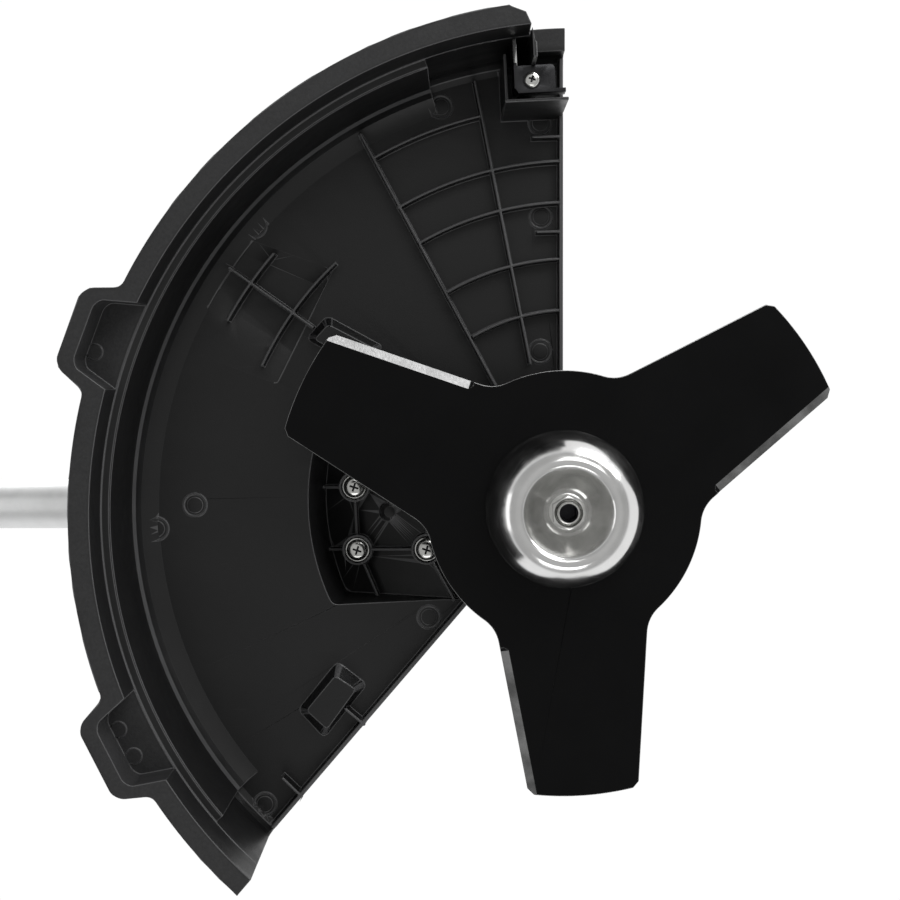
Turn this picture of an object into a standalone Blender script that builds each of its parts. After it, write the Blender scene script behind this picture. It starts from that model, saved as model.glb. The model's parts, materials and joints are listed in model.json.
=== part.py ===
"""Cutting end of a split-shaft brush cutter: gear head, guard, three-tooth blade and its tube.

The head is modelled in millimetres around the arbor: Z is the arbor axis and Z = 0 is the
middle of the blade. The tube frame has its Z axis along the tube, up to the handle. Both hang
on empties, which put the end of the tube at the world origin.
"""

from math import acos, asin, atan2, cos, degrees, hypot, pi, radians, sin, sqrt, tan

import bmesh
import bpy
from mathutils import Matrix, Vector

MM = 0.001
GAP = 0.3  # between two pieces that touch

# Head layout
ARBOR_REACH = 600.0  # level distance from the end of the tube to the arbor
TUBE_RISE = radians(30)
APEX_Z = 62.0  # where the tube's axis meets the arbor's, above the blade
TUBE_SPAN = ARBOR_REACH / cos(TUBE_RISE)  # from the apex to the end of the tube

# Tube and drive shaft
TUBE_R, TUBE_BORE_R = 14.0, 12.5
TUBE_START = 41.5
SHAFT_R, SQUARE = 4.0, 5.6
LINER_AT = (170.0, 360.0, 550.0, 672.0)
BUTTON_AT = 640.0
BUTTON_R = 3.6
LEAF_LENGTH = 60.0

# Blade
BLADE_R, HUB_R, BLADE_T, BLADE_BORE_R = 127.5, 60.5, 2.0, 12.7
TEETH = 3
FIRST_TOOTH = radians(-31.3)
FLANK_TURN = radians(7.05)  # each flank leans inwards by this much
FLANK_OFFSET = 39.5
BEVEL_W = 3.6

# Bevel gears
MODULE = 1.5
PINION_TEETH, GEAR_TEETH = 14, 19
SHAFT_ANGLE = pi / 2 - TUBE_RISE
PINION_CONE = atan2(sin(SHAFT_ANGLE), GEAR_TEETH / PINION_TEETH + cos(SHAFT_ANGLE))
GEAR_CONE = SHAFT_ANGLE - PINION_CONE
CONE_LENGTH = PINION_TEETH * MODULE / 2 / sin(PINION_CONE)
FACE_W = 7.0

# Arbor heights
UPPER_BEARING_Z = (86.5, 94.5)
LOWER_BEARING_Z = (26.0, 36.0)
HOLDER_Z = (1.3, 10.0)
NUT_Z = (-29.0, -20.0)
CUP_TOP_Z, CUP_RING_Z = -1.3, -33.0
ARBOR_END_Z = -30.0

# Guard: the arc centre is a little off the arbor
GUARD_X, GUARD_Y = 6.5, 3.5
RIM_Z, LEDGE_Z, ROOF_Z = -21.0, 2.0, 52.0
RIM_R, FLANGE_R, LEDGE_R, WALL_R = 220.0, 211.0, 206.4, 204.2
SHEET = 3.0
LUG_ANGLES = (203.3, 156.0)
START, END = 125.0, 280.0  # the turned shapes run past both straight edges
LEDGE_FROM, LEDGE_TO = 142.4, 254.0
CORNER_Z = 37.0
LOW_EDGE = radians(133.3)
RIB_Z, RIB_T = 44.0, 1.8
CUTOUT_R = 42.0
POCKET_R, POCKET_HALF = 118.5, 45.0
SCREW_X, SCREW_Y = (-95.5, -62.0), (-9.8, 20.6)
BOSS_Z = {-95.5: (70.0, 84.0), -62.0: (56.0, 68.0)}

# Line knife at the guard's corner
KNIFE_Z, KNIFE_T = -2.0, 1.5
KNIFE_SCREW = (-5.6, -186.8)
KNIFE_BOSS_R = 3.6

# Clamps: along the tube, and across it
PINCH_AT, PINCH_X = (51.5, 64.5), 20.6
CAP_FROM, CAP_TO = 77.0, 113.0
CAP_BOLT_AT, CAP_BOLT_Y = (83.0, 105.0), 23.4
CAP_OUTER_R, CAP_FLANGE_T = 18.5, 5.0

HEAD = None
TUBE_FRAME = None

COLOURS = {
    "black_plastic": (0.022, 0.022, 0.023, 0.55, 0.0),
    "blade_black": (0.012, 0.012, 0.012, 0.42, 0.3),
    "chrome": (0.78, 0.77, 0.75, 0.12, 1.0),
    "steel": (0.55, 0.54, 0.52, 0.32, 1.0),
    "cast_aluminium": (0.56, 0.57, 0.58, 0.5, 1.0),
    "tube_aluminium": (0.66, 0.67, 0.67, 0.38, 1.0),
    "black_steel": (0.05, 0.05, 0.052, 0.4, 0.9),
    "rubber": (0.02, 0.02, 0.02, 0.8, 0.0),
    "liner_plastic": (0.08, 0.08, 0.085, 0.6, 0.0),
    "button_red": (0.45, 0.05, 0.03, 0.45, 0.0),
}


# ---------------------------------------------------------------- helpers


def clear_scene():
    for obj in list(bpy.data.objects):
        bpy.data.objects.remove(obj, do_unlink=True)


def material(name):
    found = bpy.data.materials.get(name)
    if found:
        return found
    red, green, blue, roughness, metallic = COLOURS[name]
    made = bpy.data.materials.new(name)
    made.use_nodes = True
    shader = made.node_tree.nodes["Principled BSDF"]
    shader.inputs["Base Color"].default_value = (red, green, blue, 1)
    shader.inputs["Roughness"].default_value = roughness
    shader.inputs["Metallic"].default_value = metallic
    made.diffuse_color = (red, green, blue, 1)
    return made


def empty(name, parent=None, location=(0, 0, 0), turn_y=0.0):
    made = bpy.data.objects.new(name, None)
    bpy.context.scene.collection.objects.link(made)
    made.parent = parent
    made.location = Vector(location) * MM
    made.rotation_euler = (0, turn_y, 0)
    return made


def finish(bm, name, look=None, parent=None):
    """Turns a bmesh in millimetres into an object."""
    bmesh.ops.scale(bm, vec=(MM, MM, MM), verts=bm.verts)
    bmesh.ops.recalc_face_normals(bm, faces=bm.faces)
    mesh = bpy.data.meshes.new(name)
    bm.to_mesh(mesh)
    bm.free()
    obj = bpy.data.objects.new(name, mesh)
    bpy.context.scene.collection.objects.link(obj)
    obj.parent = parent or HEAD
    if look:
        mesh.materials.append(material(look))
        mesh.shade_smooth()
        mesh.set_sharp_from_angle(angle=radians(35))
    return obj


def turned(profile, steps=32, start=0.0, sweep=360.0, centre=(0, 0)):
    """Spins a closed (radius, z) outline about Z; part turns get flat ends."""
    bm = bmesh.new()
    ring = [bm.verts.new((r, 0, z)) for r, z in profile]
    face = bm.faces.new(ring)
    bmesh.ops.rotate(bm, matrix=Matrix.Rotation(radians(start), 3, "Z"), verts=bm.verts)
    full = sweep >= 360.0
    if full:
        edges = list(bm.edges)
        bm.faces.remove(face)
        geometry = edges
    else:
        geometry = list(bm.edges) + [face]
    bmesh.ops.spin(
        bm,
        geom=geometry,
        cent=(0, 0, 0),
        axis=(0, 0, 1),
        angle=radians(sweep),
        steps=steps,
        use_merge=full,
        use_normal_flip=False,
    )
    bmesh.ops.remove_doubles(bm, verts=bm.verts, dist=1e-5)
    bmesh.ops.dissolve_degenerate(bm, edges=bm.edges, dist=1e-6)
    bmesh.ops.delete(bm, geom=[e for e in bm.edges if not e.link_faces], context="EDGES")
    bmesh.ops.delete(bm, geom=[v for v in bm.verts if not v.link_faces], context="VERTS")
    bmesh.ops.translate(bm, vec=(centre[0], centre[1], 0), verts=bm.verts)
    return bm


def ring_profile(inner, outer, low, high, ease=0.6):
    """A rectangular ring section with eased outer corners."""
    return [
        (inner, low),
        (outer - ease, low),
        (outer, low + ease),
        (outer, high - ease),
        (outer - ease, high),
        (inner, high),
    ]


def prism(outline, low, high, draft=0.0):
    """Extrudes a flat outline up Z; draft scales the top about the outline's middle."""
    bm = bmesh.new()
    face = bm.faces.new([bm.verts.new((x, y, low)) for x, y in outline])
    grown = bmesh.ops.extrude_face_region(bm, geom=[face])["geom"]
    top = [item for item in grown if isinstance(item, bmesh.types.BMVert)]
    bmesh.ops.translate(bm, vec=(0, 0, high - low), verts=top)
    if draft:
        middle = sum((v.co for v in top), Vector()) / len(top)
        for vert in top:
            vert.co = middle + (vert.co - middle) * (1 - draft)
            vert.co.z = high
    return bm


def box(low, high):
    (x0, y0, z0), (x1, y1, z1) = low, high
    return prism([(x0, y0), (x1, y0), (x1, y1), (x0, y1)], z0, z1)


def rod(radius, low, high, steps=24, at=(0, 0), axis="Z"):
    """A plain cylinder along one axis; at gives its place in the other two."""
    bm = bmesh.new()
    bmesh.ops.create_cone(
        bm, cap_ends=True, segments=steps, radius1=radius, radius2=radius, depth=high - low
    )
    middle = (low + high) / 2
    if axis == "X":
        bmesh.ops.rotate(bm, matrix=Matrix.Rotation(pi / 2, 3, "Y"), verts=bm.verts)
        shift = (middle, at[0], at[1])
    elif axis == "Y":
        bmesh.ops.rotate(bm, matrix=Matrix.Rotation(pi / 2, 3, "X"), verts=bm.verts)
        shift = (at[0], middle, at[1])
    else:
        shift = (at[0], at[1], middle)
    bmesh.ops.translate(bm, vec=shift, verts=bm.verts)
    return bm


def joined(pieces):
    """Puts several bmeshes in one; they may still overlap."""
    whole = bmesh.new()
    for piece in pieces:
        bmesh.ops.recalc_face_normals(piece, faces=piece.faces)
        mesh = bpy.data.meshes.new("piece")
        piece.to_mesh(mesh)
        piece.free()
        whole.from_mesh(mesh)
        bpy.data.meshes.remove(mesh)
    return whole


def combine(obj, operation, pieces, label):
    """Adds a Boolean with a hidden helper that holds all the pieces."""
    # the exact solver leaves open edges on these two, and the manifold one doesn't
    solver = "MANIFOLD" if obj.name in ("gear_case", "bevel_pinion") else "EXACT"
    helper = finish(joined(pieces), f"{obj.name}_{label}", parent=obj.parent)
    helper.hide_render = True
    helper.display_type = "WIRE"
    modifier = obj.modifiers.new(label, "BOOLEAN")
    modifier.operation = operation
    modifier.object = helper
    modifier.solver = solver
    modifier.use_self = solver == "EXACT" and len(pieces) > 1
    return obj


def cut(obj, *pieces):
    return combine(obj, "DIFFERENCE", pieces, f"cut{len(obj.modifiers)}")


def add(obj, *pieces):
    return combine(obj, "UNION", pieces, f"add{len(obj.modifiers)}")


def keep(obj, piece):
    return combine(obj, "INTERSECT", [piece], f"keep{len(obj.modifiers)}")


def tilted(bm):
    """Takes a bmesh from the tube frame to the head frame."""
    turn = Matrix.Rotation(-(pi / 2 - TUBE_RISE), 3, "Y")
    bmesh.ops.rotate(bm, matrix=turn, verts=bm.verts)
    bmesh.ops.translate(bm, vec=(0, 0, APEX_Z), verts=bm.verts)
    return bm


def arc(radius, start, end, steps, centre=(0, 0)):
    """Points on a circle, from one angle in radians to another."""
    turns = [start + (end - start) * i / steps for i in range(steps + 1)]
    return [(centre[0] + radius * cos(t), centre[1] + radius * sin(t)) for t in turns]


def polar(radius, angle, centre=(GUARD_X, GUARD_Y)):
    """A point of the guard, by its distance and its angle in degrees about the arc centre."""
    turn = radians(angle)
    return (centre[0] + radius * cos(turn), centre[1] + radius * sin(turn))


def eased(before, corner, after, reach, steps=5):
    """A curve that replaces a corner, starting and ending reach away from it."""

    def along(other):
        dx, dy = other[0] - corner[0], other[1] - corner[1]
        scale = reach / hypot(dx, dy)
        return (corner[0] + dx * scale, corner[1] + dy * scale)

    first, last = along(before), along(after)
    curve = []
    for i in range(steps + 1):
        t = i / steps
        a, b, c = (1 - t) ** 2, 2 * t * (1 - t), t * t
        curve.append(
            tuple(a * first[k] + b * corner[k] + c * last[k] for k in (0, 1))
        )
    return curve


def rounded(outline, reach, steps=4):
    """Rounds every corner of a polygon."""
    count = len(outline)
    points = []
    for i, corner in enumerate(outline):
        points += eased(outline[i - 1], corner, outline[(i + 1) % count], reach, steps)
    return points


def hexagon(across_flats, turn=0.0):
    radius = across_flats / 2 / cos(pi / 6)
    return arc(radius, turn, turn + 5 * pi / 3, 5)


def bar(start, end, low, high, thickness=RIB_T):
    """A straight rib that stands on edge between two points."""
    dx, dy = end[0] - start[0], end[1] - start[1]
    length = hypot(dx, dy)
    nx, ny = -dy / length * thickness / 2, dx / length * thickness / 2
    (x0, y0), (x1, y1) = start, end
    outline = [(x0 + nx, y0 + ny), (x0 - nx, y0 - ny), (x1 - nx, y1 - ny), (x1 + nx, y1 + ny)]
    return prism(outline, low, high)


def curved_bar(radius, start, end, low, high, steps=8, centre=(GUARD_X, GUARD_Y)):
    """A rib that follows a circle, between two angles in degrees."""
    half = RIB_T / 2
    a, b = radians(start), radians(end)
    outline = arc(radius - half, a, b, steps, centre)
    outline += list(reversed(arc(radius + half, a, b, steps, centre)))
    return prism(outline, low, high)


# ---------------------------------------------------------------- blade and its clamp


def flank_hits(radius, side):
    """Where one flank of a tooth that points along X crosses a circle. side is 1 or -1."""
    lean = FLANK_TURN * side
    normal = (sin(lean), cos(lean))
    along = (cos(lean), -sin(lean))
    reach = sqrt(radius**2 - FLANK_OFFSET**2)
    return (
        normal[0] * FLANK_OFFSET * side + along[0] * reach,
        normal[1] * FLANK_OFFSET * side + along[1] * reach,
    )


def turn_point(point, angle):
    x, y = point
    return (x * cos(angle) - y * sin(angle), x * sin(angle) + y * cos(angle))


def blade_outline():
    """Three teeth with leaning flanks on a round hub."""
    chamfer = 2.4
    outline = []
    root = flank_hits(HUB_R, 1)
    root_angle = atan2(root[1], root[0])
    fillet = 7.0 / HUB_R
    for tooth in range(TEETH):
        turn = FIRST_TOOTH + tooth * 2 * pi / TEETH
        points = []
        for side in (-1, 1):
            foot, tip = flank_hits(HUB_R, side), flank_hits(BLADE_R, side)
            arc_side = polar_point(HUB_R, side * (root_angle + fillet))
            fillet_points = eased(arc_side, foot, tip, 7.0)
            tip_angle = side * (abs(atan2(tip[1], tip[0])) - chamfer / BLADE_R)
            length = hypot(tip[0] - foot[0], tip[1] - foot[1])
            share = (length - chamfer) / length
            corner = tuple(foot[k] + (tip[k] - foot[k]) * share for k in (0, 1))
            end = fillet_points + [corner]
            points.append((end, tip_angle))
        (low_side, low_angle), (high_side, high_angle) = points
        tooth_points = low_side + arc(BLADE_R, low_angle, high_angle, 16)
        tooth_points += list(reversed(high_side))
        start = root_angle + fillet
        end = 2 * pi / TEETH - root_angle - fillet
        tooth_points += arc(HUB_R, start, end, 10)[1:-1]
        outline += [turn_point(point, turn) for point in tooth_points]
    return outline


def polar_point(radius, angle):
    return (radius * cos(angle), radius * sin(angle))


def blade():
    half = BLADE_T / 2
    obj = finish(prism(blade_outline(), -half, half), "blade", "blade_black")
    cut(obj, rod(BLADE_BORE_R, -5, 5, 48))
    return obj


def bevel_cutters():
    """Wedges that sharpen the leading flank of each tooth on the underside."""
    half = BLADE_T / 2
    foot, tip = flank_hits(HUB_R, 1), flank_hits(BLADE_R, 1)
    length = hypot(tip[0] - foot[0], tip[1] - foot[1])
    ux, uy = (tip[0] - foot[0]) / length, (tip[1] - foot[1]) / length
    wedges = []
    for tooth in range(TEETH):
        turn = FIRST_TOOTH + tooth * 2 * pi / TEETH
        bm = bmesh.new()
        rings = []
        for reach in (11.0, length + 6.0):
            x, y = foot[0] + ux * reach, foot[1] + uy * reach
            edge_z, clear_z = half * 0.55, -half - 3.0
            section = ((-BEVEL_W, -half), (0, edge_z), (6, edge_z), (6, clear_z), (-BEVEL_W, clear_z))
            rings.append([bm.verts.new((x - uy * s, y + ux * s, z)) for s, z in section])
        for i in range(len(rings[0])):
            j = (i + 1) % len(rings[0])
            bm.faces.new((rings[0][i], rings[0][j], rings[1][j], rings[1][i]))
        bm.faces.new(rings[0])
        bm.faces.new(list(reversed(rings[1])))
        bmesh.ops.rotate(bm, matrix=Matrix.Rotation(turn, 3, "Z"), verts=bm.verts)
        wedges.append(bm)
    return wedges


def clamp_parts():
    """The holder above the blade, the flange and the cup below it, and the nut."""
    low, high = HOLDER_Z
    profile = [(8.8, high + 3), (14, high + 3), (16, high), (29, high - 2.5), (29.5, high - 3.5)]
    profile += [(29.5, low + 0.6), (28.9, low), (12.35, low), (12.35, -0.9), (8.8, -0.9)]
    finish(turned(profile, 24), "blade_holder", "steel")

    top = -BLADE_T / 2 - GAP
    profile = [(5.3, top), (24.4, top), (25, top - 0.6), (25, top - 4), (24, top - 5)]
    profile += [(15, top - 7.5), (13, top - 10), (13, -17.6), (12.4, -18.2), (5.3, -18.2)]
    finish(turned(profile, 24), "blade_clamp_flange", "steel")

    outer = [(34.4, CUP_TOP_Z), (34.2, -9), (33.0, -17), (30.2, -25), (25.4, -31)]
    seat = NUT_Z[1] + GAP
    outer += [(21.8, CUP_RING_Z), (19.6, -30.5), (17.6, -23.6), (14.0, seat), (5.5, seat)]
    inner = [(5.5, -18.5), (14.4, -18.5), (18.8, -22.8), (21.2, -30.4), (24.4, -29.3), (28.8, -24.0)]
    inner += [(31.5, -16.4), (32.6, -9), (32.8, CUP_TOP_Z)]
    finish(turned(outer + inner, 32), "support_cup", "chrome")

    low, high = NUT_Z
    nut = finish(prism(hexagon(13.0, pi / 6), low, high - 1.0), "blade_nut", "chrome")
    flange = [(0, high), (8.6, high), (9.0, high - 0.5), (8.2, high - 2.0), (0, high - 2.4)]
    add(nut, turned(flange, 24))
    cut(nut, rod(5.3, low - 3, high + 3, 24))


# ---------------------------------------------------------------- gears and shafts


def involute(base, radius):
    """Polar angle of an involute at a radius, and the angle where it starts is 0."""
    pressure = acos(min(1.0, base / radius))
    return tan(pressure) - pressure


def bevel_gear(teeth, cone, bore, back, hub_r, hub_front):
    """A straight bevel gear with its apex at the origin and its back up Z."""
    pressure = radians(20)
    outer_r = CONE_LENGTH * sin(cone)
    virtual_r = CONE_LENGTH * tan(cone)
    base = virtual_r * cos(pressure)
    tip, root = virtual_r + 0.85 * MODULE, virtual_r - 1.1 * MODULE
    pitch_angle = 2 * pi / teeth
    half_thickness = 0.21 * pitch_angle * outer_r / virtual_r
    at_pitch = involute(base, virtual_r)

    def half_angle(radius):
        lean = involute(base, max(radius, base)) - at_pitch
        return (half_thickness - lean) * virtual_r / outer_r

    radii = [root, virtual_r, tip]
    section = [(r, -half_angle(r)) for r in radii]
    section += [(r, half_angle(r)) for r in reversed(radii)]

    def place(radius, angle, shrink):
        out = radius - virtual_r
        r = (outer_r + out * cos(cone)) * shrink
        z = (CONE_LENGTH * cos(cone) - out * sin(cone)) * shrink
        return (r * cos(angle), r * sin(angle), z)

    bm = bmesh.new()
    inner_share = (CONE_LENGTH - FACE_W) / CONE_LENGTH
    rings = []
    for shrink in (1.0, inner_share):
        ring = []
        for tooth in range(teeth):
            middle = tooth * pitch_angle
            ring += [bm.verts.new(place(r, middle + a, shrink)) for r, a in section]
        rings.append(ring)
    count = len(rings[0])
    circles = []
    for radius, z in ((bore, back), (bore, hub_front)):
        turns = [atan2(v.co.y, v.co.x) for v in rings[0]]
        circles.append([bm.verts.new((radius * cos(t), radius * sin(t), z)) for t in turns])
    hub_back = [bm.verts.new((hub_r * cos(t), hub_r * sin(t), back)) for t in turns]
    loops = [rings[0], rings[1], circles[1], circles[0], hub_back]
    for a, b in zip(loops, loops[1:] + loops[:1]):
        for i in range(count):
            j = (i + 1) % count
            bm.faces.new((a[i], a[j], b[j], b[i]))
    return bm


def gears():
    """The pinion on the drive shaft and the gear on the arbor, in mesh at rest."""
    gear_back = CONE_LENGTH * cos(GEAR_CONE) + 2.0
    gear = bevel_gear(GEAR_TEETH, GEAR_CONE, 7.3, gear_back, 12.0, 12.5)
    bmesh.ops.translate(gear, vec=(0, 0, APEX_Z), verts=gear.verts)
    finish(gear, "bevel_gear", "steel")

    pinion_back = CONE_LENGTH * cos(PINION_CONE) + 1.6
    pinion = bevel_gear(PINION_TEETH, PINION_CONE, 3.0, pinion_back, 7.5, 14.6)
    # the gear's odd count puts a gap on the line of contact, and the pinion has a tooth there
    obj = finish(pinion, "bevel_pinion", "steel", TUBE_FRAME)
    collar_low, collar_high = pinion_back - 0.5, pinion_back + 0.6
    stem = [(0, 15.5), (4.0, 15.5), (4.0, collar_low), (6.2, collar_low), (6.2, collar_high)]
    stem += [(4.9, collar_high), (4.9, 45.0), (4.5, 45.6), (0, 45.6)]
    add(obj, turned(stem, 24))
    half = SQUARE / 2 + GAP
    cut(obj, box((-half, -half, 33.0), (half, half, 60.0)))


def arbor():
    """The output shaft: bearing seats, gear seat, spline and threaded end."""
    profile = [(0, ARBOR_END_Z), (4.6, ARBOR_END_Z), (5.0, ARBOR_END_Z + 0.6), (5.0, -0.8), (8.4, 0.2)]
    profile += [(8.4, 38.0), (9.5, 38.0), (9.5, 40.0), (7.6, 41.0), (7.0, 74.0), (7.0, 84.0), (5.9, 84.8)]
    profile += [(5.9, 94.4), (5.4, 95.0), (0, 95.0)]
    obj = finish(turned(profile, 24), "arbor_shaft", "steel")
    cut(obj, rod(3.9, ARBOR_END_Z - 2, ARBOR_END_Z + 13, 6))


def bearing(name, inner, outer, low, high, parent=None):
    """A shielded ball bearing, as one ring with eased outer corners."""
    profile = [(inner, low), (outer - 0.5, low), (outer, low + 0.5), (outer, high - 0.5)]
    profile += [(outer - 0.5, high), (inner, high)]
    finish(turned(profile, 20), name, "steel", parent)


def bearings():
    bearing("upper_arbor_bearing", 6.2, 13.8, *UPPER_BEARING_Z)
    bearing("lower_arbor_bearing", 8.7, 17.3, *LOWER_BEARING_Z)
    start = CONE_LENGTH * cos(PINION_CONE) + 2.6
    bearing("front_pinion_bearing", 5.2, 12.7, start, start + 6.5, TUBE_FRAME)
    bearing("rear_pinion_bearing", 5.2, 12.7, start + 6.8, start + 13.3, TUBE_FRAME)


def circlip(name, inner, outer, low, high, parent=None):
    """A retaining ring: a round strip with a gap and two eyed ends."""
    half_gap = radians(22)
    outline = arc(outer, half_gap, 2 * pi - half_gap, 28)
    eye = inner - 2.0
    outline += arc(eye, 2 * pi - half_gap, 2 * pi - half_gap - 0.28, 2)
    outline += arc(inner, 2 * pi - half_gap - 0.30, half_gap + 0.30, 24)
    outline += arc(eye, half_gap + 0.28, half_gap, 2)
    finish(prism(outline, low, high), name, "steel", parent)


def seals_and_clips():
    circlip("arbor_circlip", 15.2, 18.3, 24.2, 25.4)
    start = CONE_LENGTH * cos(PINION_CONE) + 2.6
    circlip("pinion_circlip", 10.6, 13.6, start + 13.6, start + 14.8, TUBE_FRAME)
    profile = [(8.75, 19.0), (9.6, 16.6), (16.9, 16.6), (17.2, 17.0), (17.2, 23.6)]
    profile += [(15.4, 23.6), (15.4, 19.6), (10.4, 19.6), (9.2, 21.6), (8.75, 21.6)]
    finish(turned(profile, 20), "arbor_seal", "rubber")


# ---------------------------------------------------------------- gear case


def gear_case():
    """Cast housing: an upright barrel for the arbor and a sloping neck for the tube."""
    barrel = [(0, 14.0), (23.0, 14.0), (24.0, 15.0), (24.0, 37.0), (21.6, 44.0), (21.6, 80.0)]
    barrel += [(20.8, 88.0), (18.8, 94.0), (15.0, 98.0), (9.0, 99.6), (0, 99.6)]
    obj = finish(turned(barrel, 32), "gear_case", "cast_aluminium")
    neck = tilted(rod(18.0, 4.0, 90.0, 32))
    ears = tilted(box((10.0, -10.0, 45.0), (26.5, 10.0, 71.0)))
    plug_boss = rod(8.0, 15.0, 26.0, 16, (0.0, 62.0), "Y")
    add(obj, neck)
    add(obj, ears)
    add(obj, plug_boss)
    cut(obj, box((-150.0, -60.0, -20.0), (-55.6, 60.0, 200.0)))
    start = CONE_LENGTH * cos(PINION_CONE) + 2.3
    # each bore has the groove of its circlip in its profile
    bore = [(0, 10.0), (17.6, 10.0), (17.6, 23.9), (18.6, 23.9), (18.6, 25.7), (17.6, 25.7), (17.6, 84.0)]
    bore += [(14.1, 85.6), (14.1, 95.4), (0, 95.4)]
    groove, seat = (start + 13.7, start + 15.3), TUBE_START - 0.6
    neck_bore = [(0, 4.0), (13.0, 4.0), (13.0, groove[0]), (13.9, groove[0]), (13.9, groove[1])]
    neck_bore += [(13.0, groove[1]), (13.0, seat), (TUBE_R + GAP, seat), (TUBE_R + GAP, 120), (0, 120)]
    slit = tilted(box((5.0, -1.4, TUBE_START + 0.5), (60.0, 1.4, 120.0)))
    grease = rod(3.7, 10.0, 40.0, 12, (0.0, 62.0), "Y")
    set_hole = tilted(rod(2.8, 10.0, 30.0, 10, (0.0, 49.0), "Y"))
    cut(obj, turned(bore))
    cut(obj, tilted(turned(neck_bore, 36)))
    cut(obj, slit)
    cut(obj, grease)
    cut(obj, set_hole)
    for at in PINCH_AT:
        cut(obj, tilted(rod(2.8, -30.0, 30.0, 10, (PINCH_X, at), "Y")))
    return obj


def socket_screw(name, length, head_r, shank_r, head_h, look="black_steel"):
    """A socket-head screw along Z with its head's underside at 0 and its shank down."""
    profile = [(0, -length), (shank_r - 0.4, -length), (shank_r, -length + 0.4), (shank_r, 0)]
    profile += [(head_r, 0), (head_r, head_h - 0.4), (head_r - 0.4, head_h), (0, head_h)]
    obj = finish(turned(profile, 12), name, look)
    cut(obj, prism(hexagon(head_r * 0.95), head_h * 0.45, head_h + 2))
    return obj


def place(obj, parent, location, turn=(0, 0, 0)):
    obj.parent = parent
    obj.location = Vector(location) * MM
    obj.rotation_euler = turn
    for modifier in obj.modifiers:
        if modifier.type == "BOOLEAN":
            modifier.object.parent = parent
            modifier.object.location = obj.location
            modifier.object.rotation_euler = turn
    return obj


def case_screws():
    for number, at in enumerate(PINCH_AT, 1):
        screw = socket_screw(f"neck_pinch_bolt_{number}", 21.5, 4.2, 2.5, 4.6)
        place(screw, TUBE_FRAME, (PINCH_X, 10.3, at), (-pi / 2, 0, 0))
    screw = socket_screw("tube_locating_screw", 3.4, 3.9, 2.5, 2.6)
    place(screw, TUBE_FRAME, (0, 18.0 + GAP, 49.0), (-pi / 2, 0, 0))

    plug = finish(prism(hexagon(10.0), 0.0, 5.0), "grease_plug", "steel")
    stem = [(0, -7.5), (3.0, -7.5), (3.4, -7.0), (3.4, -0.5)]
    stem += [(6.6, -0.5), (7.0, 0.0), (7.0, 1.0), (0, 1.0)]
    add(plug, turned(stem, 16))
    place(plug, HEAD, (0, 26.0 + 0.5 + GAP, 62.0), (-pi / 2, 0, 0))


def anti_wrap_ring():
    """A plastic skirt under the gear case that keeps grass off the seal."""
    profile = [(24.4, 21.0), (24.4, 15.0), (24.0, 13.6), (17.8, 13.6), (17.8, 11.6), (31.0, 11.6)]
    profile += [(31.0, 4.0), (32.6, 4.0), (32.6, 12.4), (31.6, 13.8), (26.6, 15.4), (26.4, 21.0)]
    finish(turned(profile, 24), "anti_wrap_ring", "black_plastic")


# ---------------------------------------------------------------- tube and drive shaft


def shaft_tube():
    ends = ((TUBE_BORE_R, TUBE_R, TUBE_START), (TUBE_R, TUBE_BORE_R, TUBE_SPAN))
    profile = [(radius, z) for first, last, z in ends for radius in (first, last)]
    obj = finish(turned(profile, 32), "shaft_tube", "tube_aluminium", TUBE_FRAME)
    cut(obj, rod(BUTTON_R + 0.35, 0.0, 30.0, 24, (0.0, BUTTON_AT), "X"))
    return obj


def drive_shaft():
    """Solid steel bar, squared at both ends."""
    low, high = 46.5, TUBE_SPAN - 14.0
    half = SQUARE / 2
    obj = finish(rod(SHAFT_R, low, high, 16), "drive_shaft", "steel", TUBE_FRAME)
    add(obj, box((-half, -half, 35.0), (half, half, low + 5)))
    add(obj, box((-half, -half, high - 5.0), (half, half, TUBE_SPAN - 2.0)))


def liner_profile(middle):
    """A spool: a long sleeve round the shaft with a fat lobe at each end."""
    half, bore, core, lobe = 14.0, SHAFT_R + 0.3, 7.0, TUBE_BORE_R - 0.3
    low, high = middle - half, middle + half
    return [
        (bore, low),
        (lobe - 1, low),
        (lobe, low + 1),
        (lobe, low + 6),
        (core, low + 8),
        (core, high - 8),
        (lobe, high - 6),
        (lobe, high - 1),
        (lobe - 1, high),
        (bore, high),
    ]


def liners():
    for number, at in enumerate(LINER_AT, 1):
        finish(turned(liner_profile(at), 12), f"shaft_liner_{number}", "liner_plastic", TUBE_FRAME)


def lock_button():
    """A sprung button that snaps into the upper tube, on a leaf inside this tube."""
    profile = [(0, 9.4), (4.6, 9.4), (4.6, 11.4), (BUTTON_R, 11.6), (BUTTON_R, 15.6)]
    profile += [(2.6, 16.7), (0, 17.0)]
    button = finish(turned(profile, 16), "lock_button", "steel", TUBE_FRAME)
    place(button, TUBE_FRAME, (0, 0, BUTTON_AT), (0, pi / 2, 0))
    leaf = rounded([(-3.4, -LEAF_LENGTH), (3.4, -LEAF_LENGTH), (3.4, 8.0), (-3.4, 8.0)], 2.0, 3)
    spring = finish(prism(leaf, 8.3, 9.1), "lock_button_leaf", "steel", TUBE_FRAME)
    # the leaf's long side runs along the tube, and its flat side faces the bore
    place(spring, TUBE_FRAME, (0, 0, BUTTON_AT), (pi / 2, 0, pi / 2))
    anchor = finish(
        box((8.2, -3.0, BUTTON_AT - LEAF_LENGTH - 6), (11.2, 3.0, BUTTON_AT - LEAF_LENGTH - 0.4)),
        "leaf_anchor_block",
        "liner_plastic",
        TUBE_FRAME,
    )
    return button, spring, anchor


# ---------------------------------------------------------------- guard


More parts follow.
